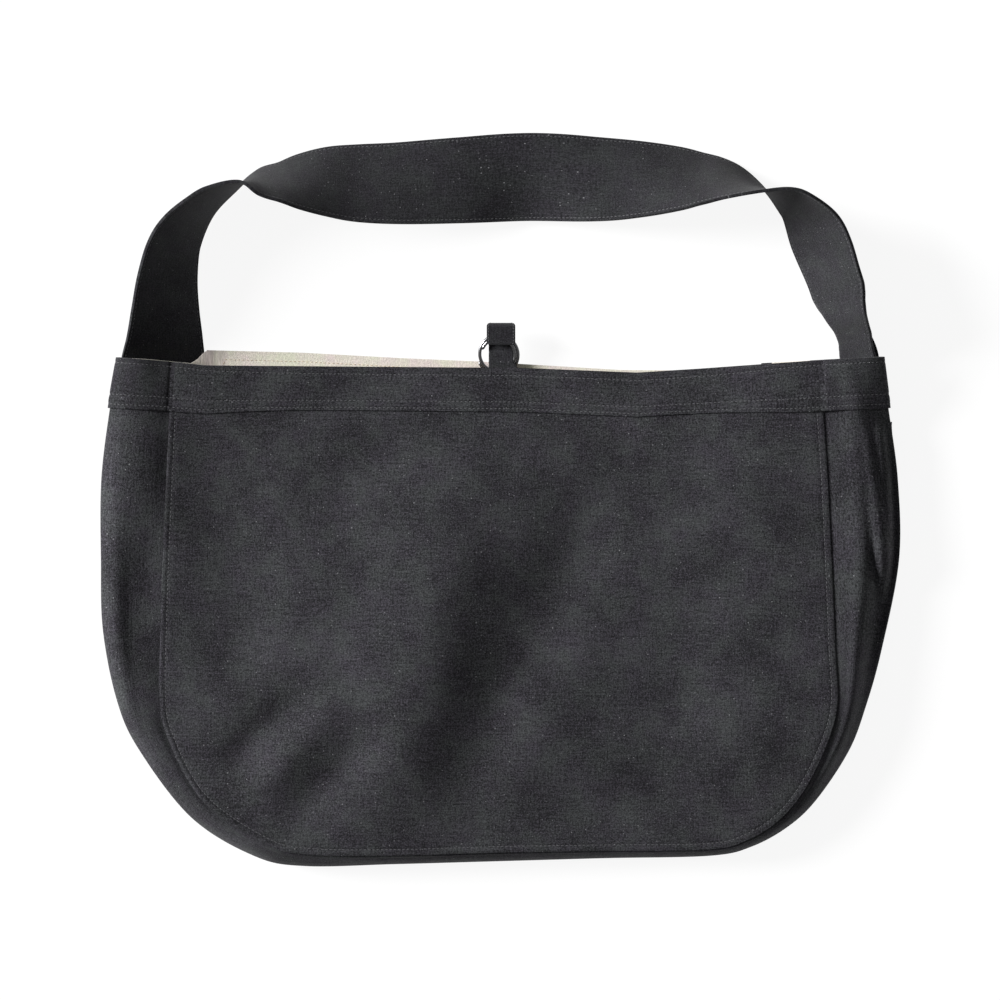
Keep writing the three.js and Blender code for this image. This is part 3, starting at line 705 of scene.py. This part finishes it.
def sew(name, paths, finish, pitch=None):
    """A piece of thread: one small rounded stitch at each step of each path."""
    thread = bpy.context.scene.bag_thread
    pitch = pitch or thread.pitch * 1000
    dice = random.Random(name)
    steps = [step for path in paths for step in walk(path, pitch)]
    whole = bmesh.new()
    batch_mesh = bpy.data.meshes.new("stitch batch")
    for first in range(0, len(steps), STITCH_BATCH):
        batch = bmesh.new()
        for place, along, normal in steps[first : first + STITCH_BATCH]:
            along = (along + Vector([dice.uniform(-0.05, 0.05) for _ in range(3)])).normalized()
            side = normal.cross(along).normalized()
            lift = along.cross(side)
            half_length = along * pitch * STITCH_SHARE / 2000
            sides = (side * thread.width * 0.5, lift * thread.width * 0.42, half_length)
            shape = Matrix(sides).transposed().to_4x4()
            shape.translation = to_frame(place)
            bmesh.ops.create_uvsphere(batch, u_segments=6, v_segments=4, radius=1, matrix=shape)
        batch.to_mesh(batch_mesh)
        batch.free()
        whole.from_mesh(batch_mesh)
    bpy.data.meshes.remove(batch_mesh)
    return add_piece(name, whole, material_named(finish))


def add_node(tree, kind, inputs=None, **settings):
    """Adds a node, with its settings and its inputs, each a value or another node's output."""
    made = tree.nodes.new(kind)
    for name, value in settings.items():
        setattr(made, name, value)
    for key, value in (inputs or {}).items():
        if isinstance(value, bpy.types.NodeSocket):
            tree.links.new(value, made.inputs[key])
        else:
            made.inputs[key].default_value = value
    return made


def sum_up(tree, operation, first, second, third=0.0):
    return add_node(tree, "ShaderNodeMath", {0: first, 1: second, 2: third}, operation=operation).outputs[0]


def stretched_noise(tree, place, scale, detail=2.0, roughness=0.6):
    """Noise whose grains are stretched by different scales, a metre, along the cloth's two directions."""
    moved = add_node(tree, "ShaderNodeMapping", {"Vector": place, "Scale": (*scale, 1.0)}).outputs[0]
    return add_node(
        tree, "ShaderNodeTexNoise", {"Vector": moved, "Scale": 1.0, "Detail": detail, "Roughness": roughness}
    ).outputs[0]


def open_group(name, sockets_in, sockets_out):
    """A new shader node group with named inputs, each with its default, and named outputs."""
    group = bpy.data.node_groups.new(name, "ShaderNodeTree")
    for label, kind, default in sockets_in:
        socket = group.interface.new_socket(label, in_out="INPUT", socket_type=kind)
        if default is not None:
            socket.default_value = default
    for label, kind in sockets_out:
        group.interface.new_socket(label, in_out="OUTPUT", socket_type=kind)
    return group, group.nodes.new("NodeGroupInput").outputs, group.nodes.new("NodeGroupOutput").inputs


def weave_group():
    """Raw denim seen close: slubs both ways, fine grain, slow blotches, pale flecks and the twill's ribs."""
    group, given, out = open_group(
        "denim weave",
        [
            ("Map", "NodeSocketVector", None),
            ("Dark", "NodeSocketColor", (0.01, 0.01, 0.012, 1)),
            ("Light", "NodeSocketColor", (0.08, 0.08, 0.09, 1)),
            ("Fleck colour", "NodeSocketColor", (0.3, 0.3, 0.3, 1)),
            ("Slubs", "NodeSocketFloat", 1.0),
            ("Blotches", "NodeSocketFloat", 1.0),
            ("Flecks", "NodeSocketFloat", 1.0),
        ],
        [("Colour", "NodeSocketColor"), ("Height", "NodeSocketFloat"), ("Roughness", "NodeSocketFloat")],
    )
    place = given["Map"]

    def reckon(operation, *values):
        return sum_up(group, operation, *values)

    def threads(scale, detail=2.0, roughness=0.6):
        return stretched_noise(group, place, scale, detail, roughness)

    long_warp = threads((900, 60))
    long_weft = threads((52, 850))
    fine_warp = threads((1500, 330))
    fine_weft = threads((300, 1500))
    grain = threads((820, 820), 4.0, 0.85)
    salt = threads((1250, 1250), 1.0, 0.5)
    blotch = threads((24, 24), 4.0, 0.6)
    tinge = threads((48, 48), 3.0, 0.6)
    slubs = reckon("ADD", long_warp, reckon("MULTIPLY", long_weft, 1.3))
    slubs = reckon("SUBTRACT", slubs, 1.15)
    fine = reckon("SUBTRACT", reckon("ADD", fine_warp, fine_weft), 1.0)
    level = reckon("MULTIPLY", slubs, reckon("MULTIPLY", given["Slubs"], 0.55))
    level = reckon("MULTIPLY_ADD", fine, 0.9, level)
    level = reckon("MULTIPLY_ADD", reckon("SUBTRACT", grain, 0.5), 3.3, level)
    bright = reckon("MAXIMUM", reckon("SUBTRACT", salt, 0.6), 0.0)
    level = reckon("MULTIPLY_ADD", bright, 6.5, level)
    slow = reckon("MULTIPLY", reckon("SUBTRACT", blotch, 0.5), given["Blotches"])
    level = reckon("ADD", level, reckon("MULTIPLY_ADD", slow, 1.1, 0.32))
    colour = add_mix(group, level, given["Dark"], given["Light"])
    hue = reckon("MULTIPLY_ADD", tinge, 4.0, -1.5)
    tint = add_mix(group, hue, (1.05, 0.97, 1.03, 1), (0.98, 1.03, 0.93, 1))
    colour = add_mix(group, 1.0, colour, tint, "MULTIPLY")
    cells = add_node(group, "ShaderNodeTexVoronoi", {"Vector": place, "Scale": 300.0, "Randomness": 1.0})
    near = reckon("LESS_THAN", cells.outputs["Distance"], 0.12)
    chosen = add_node(group, "ShaderNodeSeparateColor", {"Color": cells.outputs["Color"]}).outputs[0]
    shown = reckon("MULTIPLY", near, reckon("POWER", chosen, 3.0))
    colour = add_mix(group, reckon("MULTIPLY", shown, given["Flecks"]), colour, given["Fleck colour"])
    split = add_node(group, "ShaderNodeSeparateXYZ", {"Vector": place})
    diagonal = reckon("ADD", split.outputs[0], split.outputs[1])
    ribs = reckon("SINE", reckon("MULTIPLY", diagonal, 5200.0), 0.0)
    height = reckon("MULTIPLY_ADD", ribs, 0.12, reckon("MULTIPLY", slubs, 0.6))
    height = reckon("MULTIPLY_ADD", grain, 1.2, reckon("ADD", height, fine))
    group.links.new(colour, out["Colour"])
    group.links.new(height, out["Height"])
    group.links.new(reckon("MULTIPLY_ADD", grain, 0.2, 0.78), out["Roughness"])
    return group


def add_mix(tree, factor, first, second, blend="MIX"):
    """Mixes two colours."""
    made = tree.nodes.new("ShaderNodeMix")
    made.data_type = "RGBA"
    made.blend_type = blend
    for socket, value in zip((made.inputs[0], made.inputs[6], made.inputs[7]), (factor, first, second)):
        if isinstance(value, bpy.types.NodeSocket):
            tree.links.new(value, socket)
        else:
            socket.default_value = value
    return made.outputs[2]


def new_material(name):
    material = bpy.data.materials.new(name)
    material.use_nodes = True
    tree = material.node_tree
    return material, tree, tree.nodes["Principled BSDF"]


def set_sockets(shader, values):
    for label, value in values.items():
        shader.inputs[label].default_value = value


def cloth_material(name, dark, light, fleck, strengths=(1.0, 1.0, 1.0), bump=0.0002, sheen=0.06):
    """A denim finish: the weave group's colour, relief and roughness on a soft, dull cloth."""
    weave = bpy.data.node_groups.get("denim weave") or weave_group()
    material, tree, shader = new_material(name)
    cloth_map = add_node(tree, "ShaderNodeUVMap", uv_map="cloth")
    slubs, blotches, flecks = strengths
    woven = add_node(tree, "ShaderNodeGroup", node_tree=weave)
    colours = {"Dark": (*dark, 1), "Light": (*light, 1), "Fleck colour": (*fleck, 1)}
    shares = {"Slubs": slubs, "Blotches": blotches, "Flecks": flecks}
    set_sockets(woven, colours | shares)
    tree.links.new(cloth_map.outputs[0], woven.inputs["Map"])
    height = woven.outputs["Height"]
    relief = add_node(tree, "ShaderNodeBump", {"Height": height, "Strength": 0.8, "Distance": bump})
    tree.links.new(woven.outputs["Colour"], shader.inputs["Base Color"])
    tree.links.new(woven.outputs["Roughness"], shader.inputs["Roughness"])
    tree.links.new(relief.outputs[0], shader.inputs["Normal"])
    set_sockets(shader, {"Specular IOR Level": 0.15, "Sheen Weight": sheen, "Sheen Roughness": 0.6})
    return material


def thread_material(name, colour):
    """Twisted sewing thread: painted light and shade of its ply, as fine bands of a darker and a lighter copy
    of its colour.
    """
    material, tree, shader = new_material(name)
    place = add_node(tree, "ShaderNodeTexCoord").outputs["Object"]
    bands = stretched_noise(tree, place, (2600, 2600), 1.0)
    # Painted shade and painted highlight of the twist: a darker and a lighter copy of the one thread colour
    ply_shade = [part * 0.55 for part in colour]
    bright = [min(1.0, part * 1.5) for part in colour]
    tree.links.new(add_mix(tree, bands, (*ply_shade, 1), (*bright, 1)), shader.inputs["Base Color"])
    shader.inputs["Roughness"].default_value = 0.7
    return material


def ring_material():
    """Nickel-plated wire with faint drawing marks."""
    material, tree, shader = new_material("ring_steel_wire")
    place = add_node(tree, "ShaderNodeTexCoord").outputs["Object"]
    marks = stretched_noise(tree, place, (900, 900), 3.0)
    steel = bpy.context.scene.bag_colours.steel
    worn = [part * 0.8 for part in steel]
    tree.links.new(add_mix(tree, marks, (*worn, 1), (*steel, 1)), shader.inputs["Base Color"])
    tree.links.new(sum_up(tree, "MULTIPLY_ADD", marks, 0.25, 0.15), shader.inputs["Roughness"])
    shader.inputs["Metallic"].default_value = 1.0
    return material


def material_named(name):
    """The bag's finishes, each made when a piece first asks for it."""
    if name in bpy.data.materials:
        return bpy.data.materials[name]
    colours = bpy.context.scene.bag_colours
    if name == "ecru_cotton":
        shade = [part * 0.66 for part in colours.ecru]
        return cloth_material(name, shade, colours.ecru, (0.2, 0.17, 0.14), (0.7, 0.6, 0.35), 0.00018, 0.1)
    if name == "dark_thread":
        return thread_material(name, colours.thread)
    if name == "tan_thread":
        return thread_material(name, colours.tan_thread)
    if name == "ring_steel_wire":
        return ring_material()
    # The strap and the tab take a darker copy of the denim's light threads, as painted shade
    light = colours.strap_shaded_light if name == "black_strap_denim" else colours.denim_light
    return cloth_material(name, colours.denim_dark, light, colours.fleck)


def length(name, description, default):
    return FloatProperty(name=name, description=description, default=default, unit="LENGTH")


def strength(name, description, default):
    return FloatProperty(name=name, description=description, default=default, min=0.0)


def colour(name, description, default):
    return FloatVectorProperty(name=name, description=description, default=default, subtype="COLOR")


class BagCloth(bpy.types.PropertyGroup):
    """How thick the cloth is and how much it waves."""

    denim: length("Denim", "Thickness of one ply", 0.0012)
    facing: length("Facing", "Thickness of the facing", 0.001)
    strap: length("Strap", "Thickness of the doubled strap", 0.0024)
    wave: strength("Waves", "How high the soft waves of the cloth stand", 1.0)
    pucker: strength("Pucker", "Height of the puckers at the seam, in millimetres", 0.45)


class BagThread(bpy.types.PropertyGroup):
    """The sewing thread."""

    pitch: length("Pitch", "Length from stitch to stitch", 0.003)
    width: length("Width", "Thickness of the thread", 0.00055)


class BagColours(bpy.types.PropertyGroup):
    """The colours of the cloth, the thread and the ring."""

    denim_dark: colour("Denim dark", "The cloth between its threads", (0.0045, 0.0046, 0.0058))
    denim_light: colour("Denim light", "The cloth's raised threads", (0.07, 0.07, 0.081))
    # The strap's light threads are darker than the rest of the denim's: painted shade, the same cloth made
    # darker to stand in for the strap's shade
    strap_shaded_light: colour("Strap light", "The strap's raised threads", (0.041, 0.041, 0.048))
    fleck: colour("Flecks", "The pale specks in the cloth", (0.19, 0.19, 0.2))
    ecru: colour("Facing", "The facing's undyed cotton", (0.85, 0.81, 0.73))
    thread: colour("Thread", "The thread in the denim", (0.09, 0.09, 0.096))
    tan_thread: colour("Facing thread", "The thread in the facing", (0.5, 0.4, 0.29))
    steel: colour("Ring", "The ring's plated wire", (0.28, 0.28, 0.29))


class BagStage(bpy.types.PropertyGroup):
    """The camera, the lights and the floor."""

    camera_height: length("Camera height", "How high the camera is above the floor", 20.0)
    key_light: strength("Key light", "Strength of the low light from the left", 6.5)
    sky: strength("Sky", "Strength of the light from all round", 0.2)
    floor_glow: strength("Floor glow", "How much the floor lights itself", 0.9)


def panel_edges(mouth_at, seam_at, met):
    """A panel's top, bottom, left and right edges; if met, its sides start on the mouth's edge."""
    ends = (seam_at(0).x, seam_at(SEAM_END).x)

    def top(share):
        x = lerp(*ends, share)
        return Vector((x, mouth_at(x)))

    def bottom(share):
        return seam_at(lerp(LEFT_CORNER, RIGHT_CORNER, share))

    def side(end, corner, across):
        return lambda share: seam_at(lerp(end, corner, share)) if share or not met else top(across)

    return top, bottom, side(0, LEFT_CORNER, 0), side(SEAM_END, RIGHT_CORNER, 1)


class FrontOperator(bpy.types.Operator):
    """Lays the front panel with its folds, waves and the rolled edge along its seam"""

    bl_idname = "bag.front"
    bl_label = "Front panel"

    def execute(self, context):
        columns, rows = FRONT_CELLS
        across = crowd(columns, 0, 1, CROWDED_SHARE, CROWDED_CELLS)
        down = [0.0] + [1 - share for share in crowd(rows, 0, 1, CROWDED_SHARE, CROWDED_CELLS)[::-1]][1:]
        edges = panel_edges(front_mouth_at, seam_point, met=False)

        def point_at(column, row):
            plan = patch_point(*edges, across[column], down[row])
            return (plan.x, plan.y, panel_top(plan.x, plan.y))

        def rim(column, row):
            x, y, _ = point_at(column, row)
            return 1 - EDGE_THINNED * bell(SEAM_TREE.find((x, y, 0))[2], EDGE_THIN_WIDTH)

        sheet = lay_cloth(len(across) - 1, len(down) - 1, point_at, (0, 0), rim=rim)
        cloth_map = sheet.loops.layers.uv["cloth"]
        for face in sheet.faces:
            for loop in face.loops:
                loop[cloth_map].uv = loop.vert.co.xy
        ply = context.scene.bag_cloth.denim
        add_cloth("front_cloth", sheet, "black_denim", ["front_panel"], ply, 0.35)
        return {"FINISHED"}


class BackOperator(bpy.types.Operator):
    """Lays the back panel flat on the floor, with its step up over the band"""

    bl_idname = "bag.back"
    bl_label = "Back panel"

    def execute(self, context):
        edges = panel_edges(back_mouth_at, back_seam_point, met=True)

        def point_at(column, row):
            plan = patch_point(*edges, column / BACK_CELLS, row / BACK_CELLS)
            return (plan.x, plan.y, back_height(plan.y))

        sheet = lay_cloth(BACK_CELLS, BACK_CELLS, point_at, BACK_SIZE)
        ply = context.scene.bag_cloth.denim
        add_cloth("back_cloth", sheet, "black_denim", ["back_panel"], ply, 0.35)
        return {"FINISHED"}


class GussetOperator(bpy.types.Operator):
    """Lays the gusset round the sides and the bottom"""

    bl_idname = "bag.gusset"
    bl_label = "Gusset"

    def execute(self, context):
        along, around = GUSSET_CELLS

        def point_at(column, row):
            return gusset_top(column / along * SEAM_END, row / around)

        sheet = lay_cloth(along, around, point_at, GUSSET_SIZE)
        ply = context.scene.bag_cloth.denim
        add_cloth("gusset_cloth", sheet, "black_denim", ["gusset"], ply, 0.35)
        return {"FINISHED"}


def waved_loop(depth, drop, offset, edges, lift=0.0):
    """A loop round the mouth that follows the waves of the cloth, and is lifted off its own middle layer."""
    loop = []
    for point, normal in loop_stations(depth, drop, offset, edges, BAND_CELLS):
        if normal.z > 0:
            point.z += wave(point.x, point.y) * smooth(normal.z / 0.6)
        loop.append((point + normal * lift, normal))
    return loop


def lay_round_mouth(loops, length, height, rim=None):
    """A closed sheet from loops of points with normals, of the given flat length and height."""
    count = len(loops[0])

    def point_at(column, row):
        return loops[row][column % count][0]

    return lay_cloth(count, len(loops) - 1, point_at, (length, height), closed=True, rim=rim)


def band_edges():
    return (front_mouth_at, back_mouth_at, lambda x, y, depth: y)


def facing_front_at(x):
    """The facing's edge under the front panel, which peeps out of the mouth near both its ends."""
    return front_mouth_at(x) + FACING_PEEP * (smooth((PEEP_LEFT - x) / 12) + smooth((x - PEEP_RIGHT) / 8))


def facing_edges():
    return (facing_front_at, facing_top_at, lambda x, y, depth: y if depth else facing_top_at(x))


class BandOperator(bpy.types.Operator):
    """Lays the stitched band round the outside of the mouth"""

    bl_idname = "bag.band"
    bl_label = "Mouth band"

    def execute(self, context):
        drops = evenly(BAND_CELLS.down, 0, BAND_HEIGHT)
        loops = [waved_loop(drop / BAND_HEIGHT, drop, LAYER, band_edges()) for drop in drops]
        grooves = [1 - GROOVE * max(bell(drop - row, GROOVE_WIDTH) for row in BAND_ROWS) for drop in drops]
        thinned = [1 - BAND_THINNED * bell(drop - BAND_HEIGHT, BAND_THIN_WIDTH) for drop in drops]
        rims = [groove * thin for groove, thin in zip(grooves, thinned)]
        sheet = lay_round_mouth(loops, BAND_LENGTH, BAND_HEIGHT, lambda column, row: rims[row])
        ply = context.scene.bag_cloth.denim
        add_cloth("band_cloth", sheet, "black_denim", ["mouth_band"], ply, 0.4)
        lift = ply * MM / 2 * (1 - GROOVE) + BAND_STITCH_LIFT
        paths = []
        for drop in BAND_ROWS:
            loop = waved_loop(drop / BAND_HEIGHT, drop, LAYER, band_edges(), lift)
            paths.append(loop + loop[:1])
        sew("band_stitches", paths, "dark_thread")
        return {"FINISHED"}


class FacingOperator(bpy.types.Operator):
    """Lays the pale facing inside the mouth"""

    bl_idname = "bag.facing"
    bl_label = "Facing"

    def execute(self, context):
        inside = -(2 * LAYER + SEAM_GAP)
        depths = evenly(BAND_CELLS.down, 0, 1)
        loops = [waved_loop(depth, FACING_HEIGHT * depth, inside, facing_edges()) for depth in depths]
        sheet = lay_round_mouth(loops, FACING_LENGTH, FACING_HEIGHT)
        thickness = context.scene.bag_cloth.facing
        add_cloth("facing_cloth", sheet, "ecru_cotton", ["mouth_facing"], thickness, 0.35)
        depth = FACING_STITCH_DROP / FACING_HEIGHT
        loop = waved_loop(depth, FACING_STITCH_DROP, inside, facing_edges(), -thickness * MM / 2)
        sew("facing_stitches", [loop + loop[:1]], "tan_thread")
        return {"FINISHED"}


class SeamOperator(bpy.types.Operator):
    """Sews the topstitch of the front panel along its seam"""

    bl_idname = "bag.seam"
    bl_label = "Front seam"

    def execute(self, context):
        path = []
        lift = context.scene.bag_cloth.denim * MM / 2
        for place in evenly(SEAM_STATIONS, 1.0, SEAM_END - 1.0):
            plan = seam_point(place) + seam_inward(place) * STITCH_INSET
            height = panel_top(plan.x, plan.y)
            slope_x = panel_top(plan.x + 0.5, plan.y) - panel_top(plan.x - 0.5, plan.y)
            slope_y = panel_top(plan.x, plan.y + 0.5) - panel_top(plan.x, plan.y - 0.5)
            normal = Vector((-slope_x, -slope_y, 1)).normalized()
            path.append((Vector((plan.x, plan.y, height)) + normal * lift, normal))
        sew("seam_stitches", [path], "dark_thread")
        return {"FINISHED"}


class StrapOperator(bpy.types.Operator):
    """Lays the doubled strap with its two twists and sews its edges"""

    bl_idname = "bag.strap"
    bl_label = "Shoulder strap"

    def execute(self, context):
        sections = strap_sections(STRAP_CELLS)
        across = STRAP_TRACK_STEPS
        from_edge = [min(step, across - step) for step in range(across + 1)]
        groove = [1 - STRAP_GROOVE * bell(off - STRAP_GROOVE_AT, STRAP_GROOVE_WIDTH) for off in from_edge]

        def point_at(column, row):
            return sections[column][row]

        size = (STRAP_LENGTH, STRAP_WIDTH)
        sheet = lay_cloth(STRAP_CELLS, across, point_at, size, rim=lambda column, row: groove[row])
        thickness = context.scene.bag_cloth.strap
        replaced = ["shoulder_strap"]
        add_cloth("strap_cloth", sheet, "black_strap_denim", replaced, thickness, 0.8)
        inset = STRAP_STITCH_INSET / STRAP_WIDTH * across
        paths = []
        for edge in (inset, across - inset):
            first = int(edge)
            middle = [points[first].lerp(points[first + 1], edge - first) for points in sections]
            for side in (1, -1):
                path = []
                for index, point in enumerate(middle):
                    ahead, behind = middle[min(index + 1, STRAP_CELLS)], middle[max(index - 1, 0)]
                    width = sections[index][first + 1] - sections[index][first]
                    normal = (ahead - behind).cross(width).normalized() * side
                    path.append((point + normal * thickness * MM * STRAP_STITCH_LIFT, normal))
                paths.append(path)
        sew("strap_stitches", paths, "dark_thread")
        return {"FINISHED"}


def tab_middle():
    """The height of the tab's lower layer, the ring's radius and lean, and how far the tab rises over it."""
    corners = [(side, y) for side in (-TAB_WIDTH / 2, 0, TAB_WIDTH / 2) for y in (0, -TAB_TAIL)]
    roof = min(panel_height(x, y) for x, y in corners)
    mouth_z = roof - (2 * LAYER + SEAM_GAP) - FACING / 2 - LAYER_GAP - TAB_THICKNESS / 2
    ring_radius = (RING_DIAMETER - RING_WIRE) / 2
    ring_tube = 2 * RING_WIRE + LAYER_GAP
    at_edge = math.sqrt(ring_radius**2 - (TAB_WIDTH / 2 + LAYER_GAP) ** 2)
    lean = ((TAB_THICKNESS + ring_tube) / 2 + LAYER_GAP) / at_edge
    return_rise = lean * ring_radius + (ring_tube + TAB_THICKNESS) / 2 + LAYER_GAP
    return mouth_z, ring_radius, lean, return_rise


class TabOperator(bpy.types.Operator):
    """Folds the tab through the ring and sews its edges"""

    bl_idname = "bag.tab"
    bl_label = "Tab"

    def execute(self, context):
        mouth_z, _, _, return_rise = tab_middle()
        radius = return_rise / 2
        turn_y = TAB_RISE - radius - TAB_THICKNESS / 2

        def lower(y):
            return mouth_z + TAB_SLOPE * (y + TAB_TAIL)

        middle = [(y, lower(y)) for y in evenly(TAB_CELLS[1], -TAB_TAIL, turn_y)]
        for turn in evenly(TAB_TURN_CELLS, -math.pi / 2, math.pi / 2)[1:]:
            height = lower(turn_y) + radius + radius * math.sin(turn)
            middle.append((turn_y + radius * math.cos(turn), height))
        middle += [(y, lower(turn_y) + return_rise) for y in evenly(TAB_RETURN_CELLS, turn_y, TAB_RETURN)[1:]]
        rows, columns = len(middle) - 1, TAB_CELLS[0]

        def half_width(row, side):
            y, z = middle[row]
            folded = smooth((z - lower(y)) / return_rise * 2)
            narrow = TAB_NARROWED - TAB_FLARE * (1 - smooth(y / TAB_FLARE_RISE)) * (side > 0)
            to_end = min(y - TAB_RETURN, turn_y + radius - y) if folded > 0.5 else TAB_CORNER
            into = clamp(TAB_CORNER - to_end, 0, TAB_CORNER)
            corner = TAB_CORNER - math.sqrt(max(0, TAB_CORNER**2 - into**2))
            return TAB_WIDTH / 2 - lerp(narrow, 0, folded) - corner

        def point_at(column, row):
            y, z = middle[row]
            across = column / columns * 2 - 1
            return (across * half_width(row, across), y, z)

        sheet = lay_cloth(columns, rows, point_at, (TAB_WIDTH, TAB_LENGTH))
        thickness = TAB_THICKNESS / 1000
        add_cloth("tab_cloth", sheet, "black_strap_denim", ["tab_loop"], thickness, 0.5)
        paths = []
        for side in (-1, 1):
            path = []
            for index, (y, z) in enumerate(middle):
                x = side * (half_width(index, side) - TAB_STITCH_INSET)
                ahead, behind = middle[min(index + 1, rows)], middle[max(index - 1, 0)]
                normal = Vector((0, -(ahead[1] - behind[1]), ahead[0] - behind[0])).normalized()
                path.append((Vector((x, y, z)) - normal * TAB_THICKNESS / 2, normal))
            paths.append(path[len(path) // 2 :])
        sew("tab_stitches", paths, "dark_thread", TAB_PITCH)
        return {"FINISHED"}


class RingOperator(bpy.types.Operator):
    """Coils the wire ring that hangs in the tab"""

    bl_idname = "bag.ring"
    bl_label = "Ring"

    def execute(self, context):
        mouth_z, radius, lean, _ = tab_middle()
        centre_z = mouth_z + TAB_SLOPE * (RING_RISE + TAB_TAIL)
        steps, sides = RING_STEPS, RING_SIDES

        def place(share):
            angle = math.pi + (share - 0.5) * RING_TURNS * 2 * math.pi
            wound = smooth((share - 0.5) / RING_CROSSING + 0.5) - 0.5
            from_middle = radius - RING_SPREAD * wound
            x, y = math.cos(angle) * from_middle, math.sin(angle) * from_middle
            height = centre_z + y * (lean + TAB_SLOPE) + wound * RING_WIRE
            return Vector((x - RING_SHIFT, RING_RISE + y, height))

        def point_at(column, row):
            share = row / steps
            at = place(share)
            along = (place(min(share + 0.003, 1)) - place(max(share - 0.003, 0))).normalized()
            side = Vector((0, 0, 1)).cross(along).normalized()
            up = along.cross(side)
            turn = column / sides * 2 * math.pi
            end = min(row, steps - row)
            wire = RING_SEEN_WIRE / 2 * math.sqrt(clamp(1 - (1 - end / 2) ** 2 if end < 2 else 1))
            return at + (side * math.cos(turn) + up * math.sin(turn)) * wire

        sheet = lay_cloth(sides, steps, point_at, (4.4, 150), closed=True)
        bmesh.ops.remove_doubles(sheet, verts=sheet.verts, dist=1e-6)
        bmesh.ops.recalc_face_normals(sheet, faces=sheet.faces)
        add_piece("ring_wire", sheet, material_named("ring_steel_wire"), ["tab_ring"])
        return {"FINISHED"}


class StageOperator(bpy.types.Operator):
    """Sets the pale floor, the soft light and the camera straight above"""

    bl_idname = "bag.stage"
    bl_label = "Stage"

    def execute(self, context):
        stage = context.scene.bag_stage
        bm = bmesh.new()
        bmesh.ops.create_grid(bm, x_segments=1, y_segments=1, size=FLOOR_REACH)
        mesh = bpy.data.meshes.new("floor")
        bm.to_mesh(mesh)
        bm.free()
        floor = put_in_scene("floor", mesh)
        floor.location.z = -FLOOR_DROP
        material, _, shader = new_material("pale_floor")
        set_sockets(shader, {"Base Color": (*[FLOOR_GREY] * 3, 1), "Roughness": 0.9, "Specular IOR Level": 0})
        set_sockets(shader, {"Emission Color": (1, 1, 1, 1), "Emission Strength": stage.floor_glow})
        material.cycles.emission_sampling = "NONE"
        mesh.materials.append(material)

        world = bpy.data.worlds.new("studio")
        world.use_nodes = True
        set_sockets(world.node_tree.nodes["Background"], {"Color": (1, 1, 1, 1), "Strength": stage.sky})
        context.scene.world = world

        key = bpy.data.lights.new("key", "SUN")
        key.energy = stage.key_light
        key.angle = math.radians(KEY_SPREAD)
        lamp = put_in_scene("key", key)
        lamp.rotation_euler = Vector(KEY_TOWARDS).to_track_quat("-Z", "Y").to_euler()

        camera = bpy.data.cameras.new("camera")
        camera.sensor_width = SENSOR_WIDTH
        camera.lens = SENSOR_WIDTH * stage.camera_height / (PHOTO_PIXELS * PIXEL / 1000)
        camera.clip_start = 1
        camera.clip_end = 100
        eye = put_in_scene("camera", camera)
        spot = to_frame(((500 - MOUTH_PIXEL[0]) * PIXEL, -(500 - MOUTH_PIXEL[1]) * PIXEL, 0))
        eye.location = (spot.x, spot.y, stage.camera_height)
        context.scene.camera = eye
        context.scene.view_settings.view_transform = "Standard"
        return {"FINISHED"}


GROUPS = {"bag_cloth": BagCloth, "bag_thread": BagThread, "bag_colours": BagColours, "bag_stage": BagStage}
OPERATORS = (
    StageOperator,
    BackOperator,
    GussetOperator,
    FrontOperator,
    SeamOperator,
    BandOperator,
    FacingOperator,
    StrapOperator,
    TabOperator,
    RingOperator,
)


class BagPanel(bpy.types.Panel):
    """Lists the bag's sizes and the operators that make its pieces"""

    bl_idname = "VIEW3D_PT_newspaper_bag"
    bl_label = "Newspaper bag"
    bl_space_type = "VIEW_3D"
    bl_region_type = "UI"
    bl_category = "Bag"

    def draw(self, context):
        for group in GROUPS:
            settings = getattr(context.scene, group)
            for name in settings.__annotations__:
                self.layout.prop(settings, name)
        for operator in OPERATORS:
            self.layout.operator(operator.bl_idname)


def register():
    for name, group in GROUPS.items():
        bpy.utils.register_class(group)
        setattr(bpy.types.Scene, name, PointerProperty(type=group))
    for operator in OPERATORS:
        bpy.utils.register_class(operator)
    bpy.utils.register_class(BagPanel)


def unregister():
    bpy.utils.unregister_class(BagPanel)
    for operator in OPERATORS:
        bpy.utils.unregister_class(operator)
    for name, group in GROUPS.items():
        delattr(bpy.types.Scene, name)
        bpy.utils.unregister_class(group)


def main():
    register()
    for operator in OPERATORS:
        call = getattr(bpy.ops.bag, operator.bl_idname.split(".")[1])
        if call() != {"FINISHED"}:
            raise RuntimeError(operator.bl_label + " wasn't finished")


if __name__ == "__main__":
    main()
